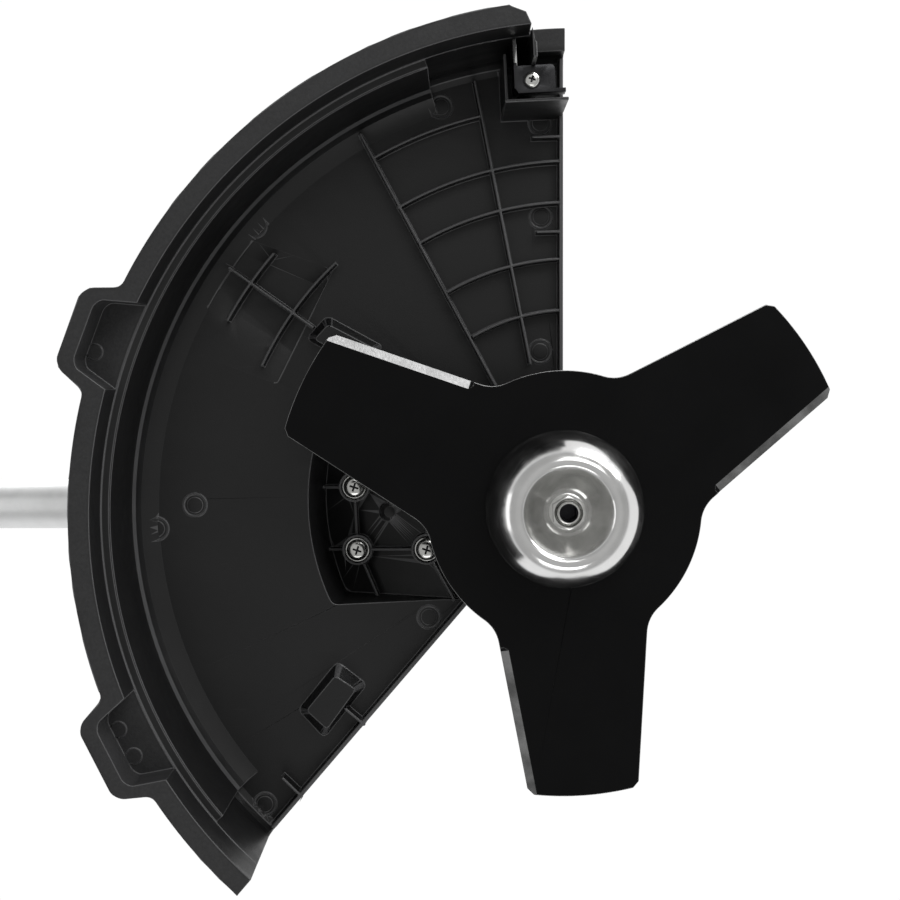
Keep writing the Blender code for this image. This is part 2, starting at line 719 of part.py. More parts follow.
def guard_outline(rim, lug_r, lug_half, steps=7):
    """Sector outline with the two lugs, from one straight edge past the other."""
    outline = []
    spans = []
    at = START
    for middle in sorted(LUG_ANGLES):
        spans.append((at, middle - lug_half[0], middle))
        at = middle + lug_half[0]
    for start, end, middle in spans:
        outline += [polar(rim, start + (end - start) * i / steps) for i in range(steps + 1)]
        for share, radius in ((lug_half[1], lug_r - 2.6), (lug_half[2], lug_r)):
            outline.append(polar(radius, middle - share))
        for share, radius in ((lug_half[2], lug_r), (lug_half[1], lug_r - 2.6)):
            outline.append(polar(radius, middle + share))
    steps = 16
    outline += [polar(rim, at + (END - at) * i / steps) for i in range(steps + 1)]
    outline.append(polar(20.0, END))
    outline.append(polar(20.0, START))
    return outline


def sector(profile, start, end, steps=30):
    return turned(profile, steps, start, end - start, (GUARD_X, GUARD_Y))


def lug_pocket(middle):
    """The hollow of one lug, from the rim up to the ledge."""
    half = [(LEDGE_R - 8, 5.7), (LEDGE_R + 1, 5.7), (225.4, 3.9), (227.3, 3.0)]
    outline = [polar(radius, middle - turn) for radius, turn in half]
    outline += [polar(radius, middle + turn) for radius, turn in reversed(half)]
    return prism(outline, RIM_Z - 5, LEDGE_Z - 1.0)


def pocket_outline(grow=0.0):
    """The mount pocket in plan: an arc about the arbor and two sides beside the tube."""
    radius, half = POCKET_R + grow, POCKET_HALF + grow
    turn = asin(half / radius)
    outline = arc(radius, pi - turn, pi + turn, 14)
    near = -36.0
    return outline + [(near, -half), (near, half)]


def sloped_prism(outline, low, top_at, inset):
    """A prism whose top follows a slope that rises away from the arbor, and whose sides lean in."""
    bm = bmesh.new()
    bottom = [bm.verts.new((x, y, low)) for x, y in outline]
    top = []
    for x, y in outline:
        if x < -40:
            length = hypot(x, y)
            x, y = x * (1 - inset / length), y * (1 - inset / length)
        top.append(bm.verts.new((x, y, top_at(x))))
    bm.faces.new(bottom)
    bm.faces.new(list(reversed(top)))
    count = len(outline)
    for i in range(count):
        j = (i + 1) % count
        bm.faces.new((bottom[i], bottom[j], top[j], top[i]))
    bmesh.ops.triangulate(bm, faces=[f for f in bm.faces if len(f.verts) > 4])
    return bm


def pocket_floor(x):
    """Height of the pocket's floor: it rises with the tube."""
    return 57.0 + (-x - 50.0) * 0.47


def pads():
    """Two small hollow blocks that stand down from the roof, one on each side of the tube."""
    outline = [(-106.7, 70.1), (-92.7, 82.9), (-114.7, 107.0), (-125.9, 92.2)]
    return [rounded([(x, side * y) for x, y in outline], 3.0, 3) for side in (1, -1)]


def guard_ribs():
    """Every rib under the roof."""
    low, high = RIB_Z, ROOF_Z + 1.0
    ribs = [bar(polar_arbor(60.0, 244.5), polar_arbor(193.0, 244.5), low, high)]
    ribs.append(bar(polar_arbor(65.0, 261.5), polar_arbor(198.0, 261.5), low, high))
    ribs.append(curved_bar(186.2, 243.1, 259.5, low, high))
    for radius, end in ((160.8, 270.6), (141.8, 270.4), (115.7, 269.8), (92.0, 269.0)):
        ribs.append(curved_bar(radius, 242.6, end, low, high, 12))
    for y in (-168.5, -124.8):
        ribs.append(bar((-4.0, y - 0.3), (edge_x(y) - 1.0, y), low, high))
    ribs.append(bar(polar_arbor(187.0, 218.2), polar_arbor(139.0, 218.2), low, high + 4))
    for radius, start, end in ((174.6, 211.5, 223.9), (151.0, 207.4, 229.8)):
        ribs.append(curved_bar(radius, start, end, low, high + 4, 8, (0, 0)))
    ribs.append(bar((-103.5, 92.2), (-93.6, 101.4), low, high))
    ribs.append(bar((-134.6, 123.2), (-125.8, 132.6), low, high))
    # lips along the two straight edges
    ribs.append(bar((edge_x(-50.0) - 1.3, -50.0), (edge_x(-204.0) - 1.3, -204.0), low, high, 2.4))
    side = (cos(LOW_EDGE), sin(LOW_EDGE))
    across = (-side[1] * 1.5, side[0] * 1.5)
    ends = [(side[0] * r + across[0], side[1] * r + across[1]) for r in (45.0, 203.0)]
    ribs.append(bar(ends[0], ends[1], low, high, 2.8))
    return ribs


def polar_arbor(radius, angle):
    return polar(radius, angle, (0, 0))


def edge_x(y):
    """X of the guard's straight edge on its blade side."""
    return 2.9 - 0.0458 * y


def guard():
    """Moulded guard: a deep skirt round an arc, a ribbed roof, two lugs and the mount pocket."""
    roof_top = ROOF_Z + SHEET
    outer_half, inner_half = (6.1, 4.6, 3.6), (5.9, 4.4, 3.5)
    flange = prism(guard_outline(RIM_R, 234.5, outer_half), RIM_Z, RIM_Z + SHEET)
    obj = finish(flange, "guard", "black_plastic")
    low_wall = prism(guard_outline(RIM_R - 6.0, 230.2, inner_half), RIM_Z + 1.0, LEDGE_Z + SHEET - 1)
    add(obj, low_wall)
    high_profile = [(0, LEDGE_Z), (LEDGE_R + SHEET, LEDGE_Z), (WALL_R + SHEET, 47.0)]
    high_profile += [(WALL_R + 1.2, 52.6), (WALL_R - 4, roof_top), (0, roof_top)]
    add(obj, sector(high_profile, START, END))
    # the skirt is a little wider beyond each end of the ledge
    end_profile = [(100, LEDGE_Z), (FLANGE_R + 2.4, LEDGE_Z), (FLANGE_R + 1.0, 46.0)]
    end_profile += [(FLANGE_R - 0.8, 52.4), (FLANGE_R - 5, roof_top), (100, roof_top)]
    add(obj, sector(end_profile, LEDGE_TO - 1.2, END, 10))
    add(obj, sector(end_profile, START, LEDGE_FROM + 1.2, 10))
    add(obj, sloped_prism(pocket_outline(SHEET), 48.0, lambda x: pocket_floor(x) + SHEET, 8.0))
    ridge = ((190.0, 213.0), (190.0, 223.0), (126.0, 230.0), (126.0, 206.5))
    add(obj, prism([polar_arbor(*point) for point in ridge], 50.0, roof_top + 3.0, 0.12))
    # the corner by the knife has its rim much higher
    corner_top = CORNER_Z + SHEET
    corner_rim = [(196, CORNER_Z), (RIM_R, CORNER_Z), (RIM_R, corner_top), (214, corner_top)]
    corner_rim += [(212, roof_top), (196, roof_top)]
    add(obj, sector(corner_rim, 266.5, END, 6))

    # the space under the roof
    below = RIM_Z - 9
    hollow = [(0, below), (FLANGE_R, below), (FLANGE_R - 0.4, LEDGE_Z), (LEDGE_R, LEDGE_Z)]
    hollow += [(WALL_R, 46.5), (WALL_R - 1.6, 50.2), (WALL_R - 5.4, ROOF_Z), (0, ROOF_Z)]
    cut(obj, sector(hollow, START - 5, END + 5, 34))
    end_hollow = [(100, below), (FLANGE_R, below), (FLANGE_R - 1.6, 46.5)]
    end_hollow += [(FLANGE_R - 3.2, 50.2), (FLANGE_R - 7, ROOF_Z), (100, ROOF_Z)]
    cut(obj, sector(end_hollow, LEDGE_TO, END + 5, 10))
    cut(obj, sector(end_hollow, START - 5, LEDGE_FROM, 10))
    for middle in LUG_ANGLES:
        cut(obj, lug_pocket(middle))
    cut(obj, sloped_prism(pocket_outline(), 40.0, pocket_floor, 8.0))
    channel = ((186.0, 213.6), (186.0, 222.4), (129.0, 229.0), (129.0, 207.5))
    cut(obj, prism([polar_arbor(*point) for point in channel], 46.0, ROOF_Z + 2.6, 0.12))
    # the high corner by the knife
    corner = [(-3.4, -240.0), (40.0, -240.0), (40.0, -192.0), (-3.4, -192.0)]
    cut(obj, prism(corner, -60.0, CORNER_Z))
    return obj


def guard_details(obj):
    """Ribs, bosses, pads and the knife's mount, added after the hollows are cut."""
    roof = ROOF_Z + 1.0
    add(obj, *guard_ribs())
    add(obj, *[prism(outline, 42.0, roof, -0.22) for outline in pads()])
    skirt_end = bar((-4.6, -214.0), (-4.6, -193.4), RIM_Z + 0.5, roof, 2.6)
    knife_boss = rod(KNIFE_BOSS_R, KNIFE_Z + KNIFE_T + GAP, roof, 20, KNIFE_SCREW)
    gusset = bar((-16.5, -200.0), (-16.5, -179.0), 6.0, roof, 2.0)
    shelf = bar((-17.5, -178.6), (edge_x(-178.6) - 0.8, -178.6), 0.0, roof, 2.0)
    add(obj, skirt_end, knife_boss, gusset, shelf)
    posts, holes = [], []
    for x in SCREW_X:
        low, high = BOSS_Z[x]
        for y in SCREW_Y:
            posts.append(rod(7.4, low, high, 18, (x, y)))
            seat = low + 2.4
            bore = [(0, low - 30), (6.3, low - 30), (6.3, seat), (2.8, seat), (2.8, 130), (0, 130)]
            holes.append(turned(bore, 14, centre=(x, y)))
    add(obj, *posts)
    add(obj, *pocket_ribs())
    cut(obj, *holes)
    hollows = []
    for outline in pads():
        middle_x = sum(x for x, _ in outline) / len(outline)
        middle_y = sum(y for _, y in outline) / len(outline)
        shrink = 0.66
        inner = [
            (middle_x + (x - middle_x) * shrink, middle_y + (y - middle_y) * shrink)
            for x, y in outline
        ]
        hollows.append(prism(inner, 45.4, 70.0, -0.1))
    cut(obj, *hollows)
    cut(obj, rod(1.9, -10.0, 30.0, 16, KNIFE_SCREW))
    cut(obj, rod(CUTOUT_R, -60.0, 140.0, 40))
    # what stays lies between the two straight edges
    reach = 320.0
    wedge = [(edge_x(0.0), 0.0), (edge_x(-300.0), -300.0), (-reach, -300.0), (-reach, 340.0)]
    wedge += [polar_arbor(430.0, degrees(LOW_EDGE)), (0.0, 0.0)]
    keep(obj, prism(wedge, -80.0, 160.0))


def pocket_ribs():
    """Thin webs that tie the screw posts to each other and to the pocket's walls."""
    (far, near), (left, right) = SCREW_X, SCREW_Y
    low, high = BOSS_Z[far][0] + 2.0, pocket_floor(far) + 1.0
    near_low, near_high = BOSS_Z[near][0] + 2.0, pocket_floor(near) + 1.0
    webs = []
    for y in SCREW_Y:
        webs.append(sloped_web((far - 5, y), (-112.0, y)))
        webs.append(sloped_web((far + 5, y), (near - 5, y)))
    webs.append(bar((far, left + 5), (far, right - 5), low, high))
    webs.append(bar((near, left + 5), (near, right - 5), near_low, near_high))
    webs.append(sloped_web((far + 2, right + 5), (-86.0, 45.0)))
    webs.append(sloped_web((near + 2, right + 5), (-50.0, 45.0)))
    webs.append(sloped_web((far + 2, left - 5), (-86.0, -45.0)))
    webs.append(sloped_web((near + 2, left - 5), (-50.0, -45.0)))
    return webs


def sloped_web(start, end):
    """A rib whose lower edge stays a fixed depth below the pocket's sloping floor."""
    dx, dy = end[0] - start[0], end[1] - start[1]
    length = hypot(dx, dy)
    nx, ny = -dy / length * RIB_T / 2, dx / length * RIB_T / 2
    bm = bmesh.new()
    rings = []
    for x, y in (start, end):
        low, high = pocket_floor(x) - 6.0, pocket_floor(x) + 1.0
        left, right = (x + nx, y + ny), (x - nx, y - ny)
        section = ((*left, low), (*right, low), (*right, high), (*left, high))
        rings.append([bm.verts.new(point) for point in section])
    bm.faces.new(rings[0])
    bm.faces.new(list(reversed(rings[1])))
    for i in range(4):
        j = (i + 1) % 4
        bm.faces.new((rings[0][i], rings[0][j], rings[1][j], rings[1][i]))
    return bm


def line_knife():
    """Folded steel knife: a tab under the guard's corner, a cutting leg and a stiffening leg."""
    t = KNIFE_T
    tab = rounded([(-12.6, -193.2), (4.6, -193.2), (4.6, -181.6), (-12.6, -181.6)], 2.2, 3)
    obj = finish(prism(tab, KNIFE_Z, KNIFE_Z + t), "line_knife", "steel")
    cutting = box((-13.2, -204.8, KNIFE_Z), (-13.2 + t, -183.4, KNIFE_Z + 22.0))
    stiffening = box((-11.8, -182.9, KNIFE_Z), (9.0, -182.9 + t, KNIFE_Z + 9.0))
    add(obj, cutting, stiffening)
    cut(obj, rod(2.3, KNIFE_Z - 3, KNIFE_Z + 5, 20, KNIFE_SCREW))


def pan_screw(name, length, head_r, shank_r, head_h):
    """A cross-recess screw along Z: its domed head looks down and its shank goes up."""
    profile = [(0, -head_h), (head_r * 0.55, -head_h), (head_r * 0.85, -head_h * 0.72)]
    profile += [(head_r, -head_h * 0.3), (head_r, 0), (shank_r, 0)]
    profile += [(shank_r, length - 0.5), (shank_r - 0.5, length), (0, length)]
    obj = finish(turned(profile, 16), name, "chrome")
    blades = []
    for turn in (0.35, 0.35 + pi / 2):
        blade_bm = box((-head_r * 0.5, -0.55, -head_h - 1), (head_r * 0.5, 0.55, -head_h + 1.5))
        bmesh.ops.rotate(blade_bm, matrix=Matrix.Rotation(turn, 3, "Z"), verts=blade_bm.verts)
        blades.append(blade_bm)
    cut(obj, *blades)
    return obj


def guard_screws():
    number = 0
    for x in SCREW_X:
        for y in SCREW_Y:
            number += 1
            seat = BOSS_Z[x][0] + 2.4
            washer = turned(ring_profile(2.75, 5.9, seat - 1.3, seat - GAP, 0.2), 16, centre=(x, y))
            finish(washer, f"guard_washer_{number}", "chrome")
            screw = pan_screw(f"guard_screw_{number}", 20.0, 5.2, 2.4, 3.4)
            place(screw, HEAD, (x, y, seat - 1.6))
    screw = pan_screw("knife_screw", 14.0, 3.6, 1.6, 2.4)
    place(screw, HEAD, (*KNIFE_SCREW, KNIFE_Z - GAP))


def guard_bracket():
    """Cast saddle under the tube with four legs that meet the guard's posts."""
    outline = [(-104.0, -29.0), (-56.6, -29.0), (-56.6, 29.0), (-104.0, 29.0)]
    obj = finish(prism(rounded(outline, 4.0, 3), 60.0, 150.0), "guard_bracket", "cast_aluminium")
    # underside and split face both run along the tube
    cut(obj, tilted(box((-90.0, -60.0, -40.0), (-19.5, 60.0, 220.0))))
    cut(obj, tilted(box((-0.6, -60.0, -40.0), (90.0, 60.0, 220.0))))
    legs, holes = [], []
    for x in SCREW_X:
        top = BOSS_Z[x][1] + GAP
        for y in SCREW_Y:
            legs.append(rod(5.3, top, top + 17.0, 16, (x, y)))
            holes.append(rod(2.7, top - 5, BOSS_Z[x][0] + 23.6, 10, (x, y)))
    add(obj, *legs)
    cut(obj, tilted(rod(TUBE_R + GAP, 20.0, 200.0, 32)))
    cut(obj, *holes)
    cut(obj, *[tilted(rod(2.8, -30.0, 30.0, 10, (y, at), "X")) for y, at in cap_bolts()])


def cap_bolts():
    return [(y, at) for at in CAP_BOLT_AT for y in (-CAP_BOLT_Y, CAP_BOLT_Y)]


def clamp_cap():
    """The upper half of the clamp: an arch over the tube with a flange on each side."""
    inner, outer, top = TUBE_R + GAP, CAP_OUTER_R, CAP_FLANGE_T
    end = outer + 10.5
    section = arc(outer, radians(8), radians(172), 20)
    outline = [(end, 0.2), (end, top), (outer, top)] + section[1:-1]
    outline += [(-outer, top), (-end, top), (-end, 0.2)]
    outline += list(reversed(arc(inner, radians(1), radians(179), 24)))
    # the outline's first coordinate is across the tube, its second one is upwards
    bm = prism(outline, CAP_FROM, CAP_TO)
    bmesh.ops.rotate(bm, matrix=Matrix.Rotation(-pi / 2, 3, "Z"), verts=bm.verts)
    bmesh.ops.scale(bm, vec=(1, -1, 1), verts=bm.verts)
    obj = finish(bm, "clamp_cap", "cast_aluminium", TUBE_FRAME)
    for y, at in cap_bolts():
        cut(obj, rod(2.8, -10.0, 20.0, 10, (y, at), "X"))
    return obj


def cap_screws():
    for number, (y, at) in enumerate(cap_bolts(), 1):
        screw = socket_screw(f"clamp_bolt_{number}", 16.0, 4.1, 2.5, 4.6)
        place(screw, TUBE_FRAME, (CAP_FLANGE_T + GAP, y, at), (0, pi / 2, 0))


# ---------------------------------------------------------------- assembly


def build():
    global HEAD, TUBE_FRAME
    clear_scene()
    drop = APEX_Z + TUBE_SPAN * sin(TUBE_RISE)
    HEAD = empty("head_frame", None, (ARBOR_REACH, 0, -drop))
    TUBE_FRAME = empty("tube_frame", HEAD, (0, 0, APEX_Z), -(pi / 2 - TUBE_RISE))

    cut(blade(), *bevel_cutters())
    clamp_parts()
    gears()
    arbor()
    bearings()
    seals_and_clips()
    gear_case()
    case_screws()
    anti_wrap_ring()
    shaft_tube()
    drive_shaft()
    liners()
    lock_button()
    guard_details(guard())
    line_knife()
    guard_screws()
    guard_bracket()
    clamp_cap()
    cap_screws()


build()
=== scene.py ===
"""Looks of the brush cutter's cutting end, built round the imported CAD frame.

Shapes are in millimetres in the head's own frame: Z is the arbor axis, and Z = 0 is the middle of
the blade. The tube's frame has Z along the tube, up to its end. Both are placed from the joints.
"""

import json
from math import asin, atan2, cos, degrees, hypot, pi, radians, sin, sqrt

import bmesh
import bpy
from mathutils import Matrix, Vector


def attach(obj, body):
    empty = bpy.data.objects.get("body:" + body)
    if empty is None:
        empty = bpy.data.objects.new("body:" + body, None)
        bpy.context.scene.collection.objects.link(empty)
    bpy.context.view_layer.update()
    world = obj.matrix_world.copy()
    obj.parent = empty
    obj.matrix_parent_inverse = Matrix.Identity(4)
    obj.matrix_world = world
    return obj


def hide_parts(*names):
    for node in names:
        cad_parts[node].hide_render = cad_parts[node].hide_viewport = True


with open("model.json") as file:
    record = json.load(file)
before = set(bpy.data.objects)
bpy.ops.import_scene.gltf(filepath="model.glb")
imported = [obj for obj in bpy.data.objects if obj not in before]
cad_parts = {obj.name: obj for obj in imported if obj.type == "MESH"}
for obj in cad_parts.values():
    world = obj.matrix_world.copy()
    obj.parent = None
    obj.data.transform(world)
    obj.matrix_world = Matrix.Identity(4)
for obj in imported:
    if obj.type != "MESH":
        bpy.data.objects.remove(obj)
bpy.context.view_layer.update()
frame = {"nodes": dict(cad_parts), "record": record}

MM = 0.001
JOINTS = {joint["name"]: joint for joint in frame["record"]["behaviour"]["joints"]}
HEAD_AT = Vector(JOINTS["blade_spin"]["pos_m"])
APEX_Z = (JOINTS["drive_spin"]["pos_m"][2] - HEAD_AT.z) / MM
TUBE_RISE = radians(30)
TUBE_SPAN = HEAD_AT.x / MM / cos(TUBE_RISE)
TO_WORLD = Matrix.Translation(HEAD_AT) @ Matrix.Scale(MM, 4)
TUBE_TO_HEAD = Matrix.Translation((0, 0, APEX_Z)) @ Matrix.Rotation(-(pi / 2 - TUBE_RISE), 4, "Y")
GAP = 0.3

# Sizes shared with the CAD solids
TUBE_R, TUBE_BORE_R, TUBE_START = 14.0, 12.5, 41.5
BUTTON_AT, BUTTON_R = 640.0, 3.6
BLADE_R, HUB_R, BLADE_T, BLADE_BORE_R = 127.5, 60.5, 2.0, 12.7
TEETH, FIRST_TOOTH = 3, radians(-31.3)
FLANK_TURN, FLANK_OFFSET, BEVEL_W = radians(7.05), 39.5, 3.6
NUT_Z, ARBOR_END_Z = (-29.0, -20.0), -30.0
GUARD_X, GUARD_Y = 6.5, 3.5
EDGE_X, EDGE_SLOPE = 2.9, 0.0458
RIM_Z, LEDGE_Z, ROOF_Z, CORNER_Z = -21.0, 2.0, 52.0, 37.0
RIM_R, FLANGE_R, LEDGE_R, WALL_R, SHEET = 220.0, 211.0, 206.4, 204.2, 3.0
LUG_ANGLES = (203.3, 156.0)
START, END = 125.0, 280.0
LEDGE_FROM, LEDGE_TO = 142.4, 254.0
LOW_EDGE = radians(133.3)
RIB_Z, RIB_T, PAD_Z = 44.0, 1.8, 43.0
CUTOUT_R, POCKET_R, POCKET_HALF = 42.0, 118.5, 45.0
FLOOR_X, FLOOR_Z, FLOOR_SLOPE = -50.0, 57.0, 0.47
SCREW_X, SCREW_Y = (-95.5, -62.0), (-9.8, 20.6)
BOSS_Z = {-95.5: (70.0, 84.0), -62.0: (56.0, 68.0)}
SEAT_RISE = 2.4
KNIFE_Z, KNIFE_T, KNIFE_BOSS_R = -2.0, 1.5, 3.6
KNIFE_SCREW = (-5.6, -186.8)
PINCH_AT, PINCH_X = (51.5, 64.5), 20.6
CAP_FROM, CAP_TO = 77.0, 113.0
CAP_BOLT_AT, CAP_BOLT_Y = (83.0, 105.0), 23.4
CAP_OUTER_R, CAP_FLANGE_T = 18.5, 5.0
BOLT_HOLE_R, LOCATING_AT, PLUG_Z = 2.8, 49.0, 62.0

# Camera and floor
CAMERA_LEANS = {"X": 0.038078, "Y": -0.001090, "Z": -0.048120}
CAMERA_AT = (-49.62, -56.52, -750.0)
CAMERA_LENS, CAMERA_SENSOR = 68.46, 36.0
FLOOR_DROP = 1.9


# ---------------------------------------------------------------- procedural materials


def shader_of(name):
    made = bpy.data.materials.new(name)
    made.use_nodes = True
    return made, made.node_tree, made.node_tree.nodes["Principled BSDF"]


def node(tree, kind, **inputs):
    made = tree.nodes.new(kind)
    for key, value in inputs.items():
        made.inputs[key].default_value = value
    return made


def coordinates(tree, stretch=(1, 1, 1)):
    """Object coordinates in millimetres, squeezed along some axes for streaks."""
    source = tree.nodes.new("ShaderNodeTexCoord")
    mapping = tree.nodes.new("ShaderNodeMapping")
    mapping.inputs["Scale"].default_value = [1000 * share for share in stretch]
    tree.links.new(source.outputs["Object"], mapping.inputs["Vector"])
    return mapping.outputs["Vector"]


def noise(tree, vector, size, detail=3.0, roughness=0.55):
    """Noise whose blobs are about this many millimetres across."""
    made = node(tree, "ShaderNodeTexNoise", Scale=1.0 / size, Detail=detail, Roughness=roughness)
    tree.links.new(vector, made.inputs["Vector"])
    return made.outputs["Fac"]


def spread(tree, value, low, high, to_low, to_high):
    """Maps a range of a value to another one, clamped."""
    made = tree.nodes.new("ShaderNodeMapRange")
    for key, number in zip((1, 2, 3, 4), (low, high, to_low, to_high)):
        made.inputs[key].default_value = number
    tree.links.new(value, made.inputs[0])
    return made.outputs[0]


def mixed(tree, factor, first, second):
    """A colour between two colours."""
    made = tree.nodes.new("ShaderNodeMix")
    made.data_type = "RGBA"
    for socket, colour in ((made.inputs[6], first), (made.inputs[7], second)):
        if isinstance(colour, tuple):
            socket.default_value = (*colour, 1)
        else:
            tree.links.new(colour, socket)
    tree.links.new(factor, made.inputs[0])
    return made.outputs[2]


def sums(tree, kind, first, second):
    """One Math node of two values, each a socket or a number."""
    made = tree.nodes.new("ShaderNodeMath")
    made.operation = kind
    for socket, value in zip(made.inputs, (first, second)):
        if isinstance(value, (int, float)):
            socket.default_value = value
        else:
            tree.links.new(value, socket)
    return made.outputs[0]


def bumped(tree, shader, height, strength, distance):
    """Turns a height into small dents; the distance is in metres."""
    made = node(tree, "ShaderNodeBump", Strength=strength, Distance=distance)
    tree.links.new(height, made.inputs["Height"])
    tree.links.new(made.outputs["Normal"], shader.inputs["Normal"])


def edge_wear_and_highlight(tree, radius=0.0007, low=0.02, high=0.22):
    """1 near a sharp edge and 0 elsewhere, from how far a rounded normal leans; it marks worn edges, and on
    the guard painted edge highlights.
    """
    rounded_normal = node(tree, "ShaderNodeBevel", Radius=radius)
    rounded_normal.samples = 4
    geometry = tree.nodes.new("ShaderNodeNewGeometry")
    dot = tree.nodes.new("ShaderNodeVectorMath")
    dot.operation = "DOT_PRODUCT"
    tree.links.new(rounded_normal.outputs["Normal"], dot.inputs[0])
    tree.links.new(geometry.outputs["Normal"], dot.inputs[1])
    lean = sums(tree, "SUBTRACT", 1.0, dot.outputs["Value"])
    return spread(tree, lean, low, high, 0.0, 1.0)


def about_axis(tree, at, centre):
    """Distance from an upright axis through a point of the head's frame, and the height."""
    offset = tree.nodes.new("ShaderNodeVectorMath")
    offset.operation = "SUBTRACT"
    offset.inputs[1].default_value = (TO_WORLD @ Vector((*centre, 0))) / MM
    tree.links.new(at, offset.inputs[0])
    split = tree.nodes.new("ShaderNodeSeparateXYZ")
    tree.links.new(offset.outputs[0], split.inputs[0])
    across = sums(tree, "POWER", split.outputs["X"], 2.0)
    along = sums(tree, "POWER", split.outputs["Y"], 2.0)
    return sums(tree, "SQRT", sums(tree, "ADD", across, along), 0.0), split.outputs["Z"]


def surfaced(tree, shader, colour, roughness, metallic=0.0, specular=0.5):
    """Links a colour and a roughness to the shader; both defaults are the shader's own."""
    tree.links.new(colour, shader.inputs["Base Color"])
    tree.links.new(roughness, shader.inputs["Roughness"])
    shader.inputs["Metallic"].default_value = metallic
    shader.inputs["Specular IOR Level"].default_value = specular


def guard_plastic():
    """Black moulded plastic: fine spark grain, coarser and greyer on the rim, with pale edges that are a
    painted highlight.
    """
    made, tree, shader = shader_of("guard_plastic_look")
    at = coordinates(tree)
    radius, _ = about_axis(tree, at, (GUARD_X, GUARD_Y))
    rim = spread(tree, radius, FLANGE_R - 0.3, FLANGE_R + 1.2, 0.0, 1.0)

    grain = noise(tree, at, 0.55, 2.0)
    coarse = noise(tree, at, 1.3, 3.0)
    clouds = noise(tree, at, 38.0, 3.0)
    flow = noise(tree, coordinates(tree, (0.3, 1.0, 1.0)), 9.0, 4.0)
    scuffs = noise(tree, coordinates(tree, (0.12, 1.6, 1.0)), 2.6, 5.0, 0.7)
    scuff_mask = spread(tree, scuffs, 0.64, 0.72, 0.0, 1.0)
    base = mixed(tree, clouds, (0.0045, 0.0045, 0.0048), (0.0095, 0.0095, 0.0098))
    rubbed = mixed(tree, sums(tree, "MULTIPLY", scuff_mask, 0.3), base, (0.03, 0.03, 0.031))
    rim_colour = mixed(tree, coarse, (0.012, 0.012, 0.0125), (0.034, 0.034, 0.035))
    body = mixed(tree, rim, rubbed, rim_colour)
    # painted highlight: the guard's rounded edges are lightened towards pale grey
    wear_and_highlight = edge_wear_and_highlight(tree, 0.0006, 0.008, 0.10)
    colour = mixed(tree, sums(tree, "MULTIPLY", wear_and_highlight, 0.75), body, (0.12, 0.12, 0.122))
    satin = spread(tree, flow, 0.35, 0.65, 0.31, 0.40)
    satin = sums(tree, "ADD", satin, sums(tree, "MULTIPLY", grain, 0.06))
    rough = sums(tree, "ADD", satin, sums(tree, "MULTIPLY", rim, 0.22))
    surfaced(tree, shader, colour, rough, specular=0.36)
    rim_height = sums(tree, "MULTIPLY", sums(tree, "MULTIPLY", coarse, rim), 2.2)
    bumped(tree, shader, sums(tree, "ADD", grain, rim_height), 0.35, 0.00012)
    return made


def plain_plastic(name, colour, roughness):
    """Smooth moulded plastic with a faint skin and cloudy gloss."""
    made, tree, shader = shader_of(name)
    at = coordinates(tree)
    clouds = noise(tree, at, 12.0)
    darker = tuple(0.7 * value for value in colour)
    # paler edges: wear, and part of the painted highlight where this is the guard's edge look
    wear_and_highlight = edge_wear_and_highlight(tree)
    pale = tuple(value + 0.05 for value in colour)
    body = mixed(tree, clouds, darker, colour)
    worn_and_highlit = mixed(tree, sums(tree, "MULTIPLY", wear_and_highlight, 0.4), body, pale)
    rough = spread(tree, clouds, 0.3, 0.7, roughness - 0.06, roughness + 0.08)
    surfaced(tree, shader, worn_and_highlit, rough, specular=0.35)
    bumped(tree, shader, noise(tree, at, 0.5, 2.0), 0.25, 0.0001)
    return made


def blade_coating():
    """Thin black paint on steel: faint clouds, fine scratches, bare metal showing at the edges."""
    made, tree, shader = shader_of("blade_coating_look")
    at = coordinates(tree)
    clouds = noise(tree, at, 30.0, 4.0)
    specks = noise(tree, at, 1.1, 2.0)
    scratches = noise(tree, coordinates(tree, (0.08, 2.4, 1.0)), 3.0, 6.0, 0.75)
    scratch_mask = spread(tree, scratches, 0.68, 0.74, 0.0, 1.0)
    base = mixed(tree, clouds, (0.0014, 0.0014, 0.0016), (0.0028, 0.0028, 0.003))
    scratched = mixed(tree, sums(tree, "MULTIPLY", scratch_mask, 0.22), base, (0.03, 0.03, 0.032))
    wear_and_highlight = edge_wear_and_highlight(tree, 0.0005, 0.012, 0.12)
    bare = sums(tree, "MULTIPLY", wear_and_highlight, spread(tree, specks, 0.35, 0.6, 0.25, 0.9))
    worn_and_highlit = mixed(tree, bare, scratched, (0.24, 0.24, 0.24))
    surfaced(tree, shader, worn_and_highlit, spread(tree, clouds, 0.3, 0.7, 0.36, 0.48), specular=0.09)
    peel = sums(tree, "ADD", noise(tree, at, 1.6, 2.0), sums(tree, "MULTIPLY", specks, 0.4))
    bumped(tree, shader, peel, 0.12, 0.0001)
    return made


def metal(name, colour, roughness, streak, streak_size, bump=0.1, blotch=0.06, dark=0.75):
    """Bare metal: streaks along the way it was worked, cloudy polish and darker blotches."""
    made, tree, shader = shader_of(name)
    at = coordinates(tree)
    lines = noise(tree, coordinates(tree, streak), streak_size, 3.0, 0.6)
    clouds = noise(tree, at, 14.0, 4.0)
    darker = tuple(dark * value for value in colour)
    body = mixed(tree, spread(tree, clouds, 0.35, 0.6, 0.0, 1.0), darker, colour)
    streaks = spread(tree, lines, 0.3, 0.7, -0.5, 0.5)
    gloss = sums(tree, "ADD", streaks, spread(tree, clouds, 0.3, 0.7, -0.6, 0.6))
    rough = sums(tree, "ADD", sums(tree, "MULTIPLY", gloss, blotch), roughness)
    surfaced(tree, shader, body, rough, metallic=1.0)
    bumped(tree, shader, lines, bump, 0.00006)
    return made


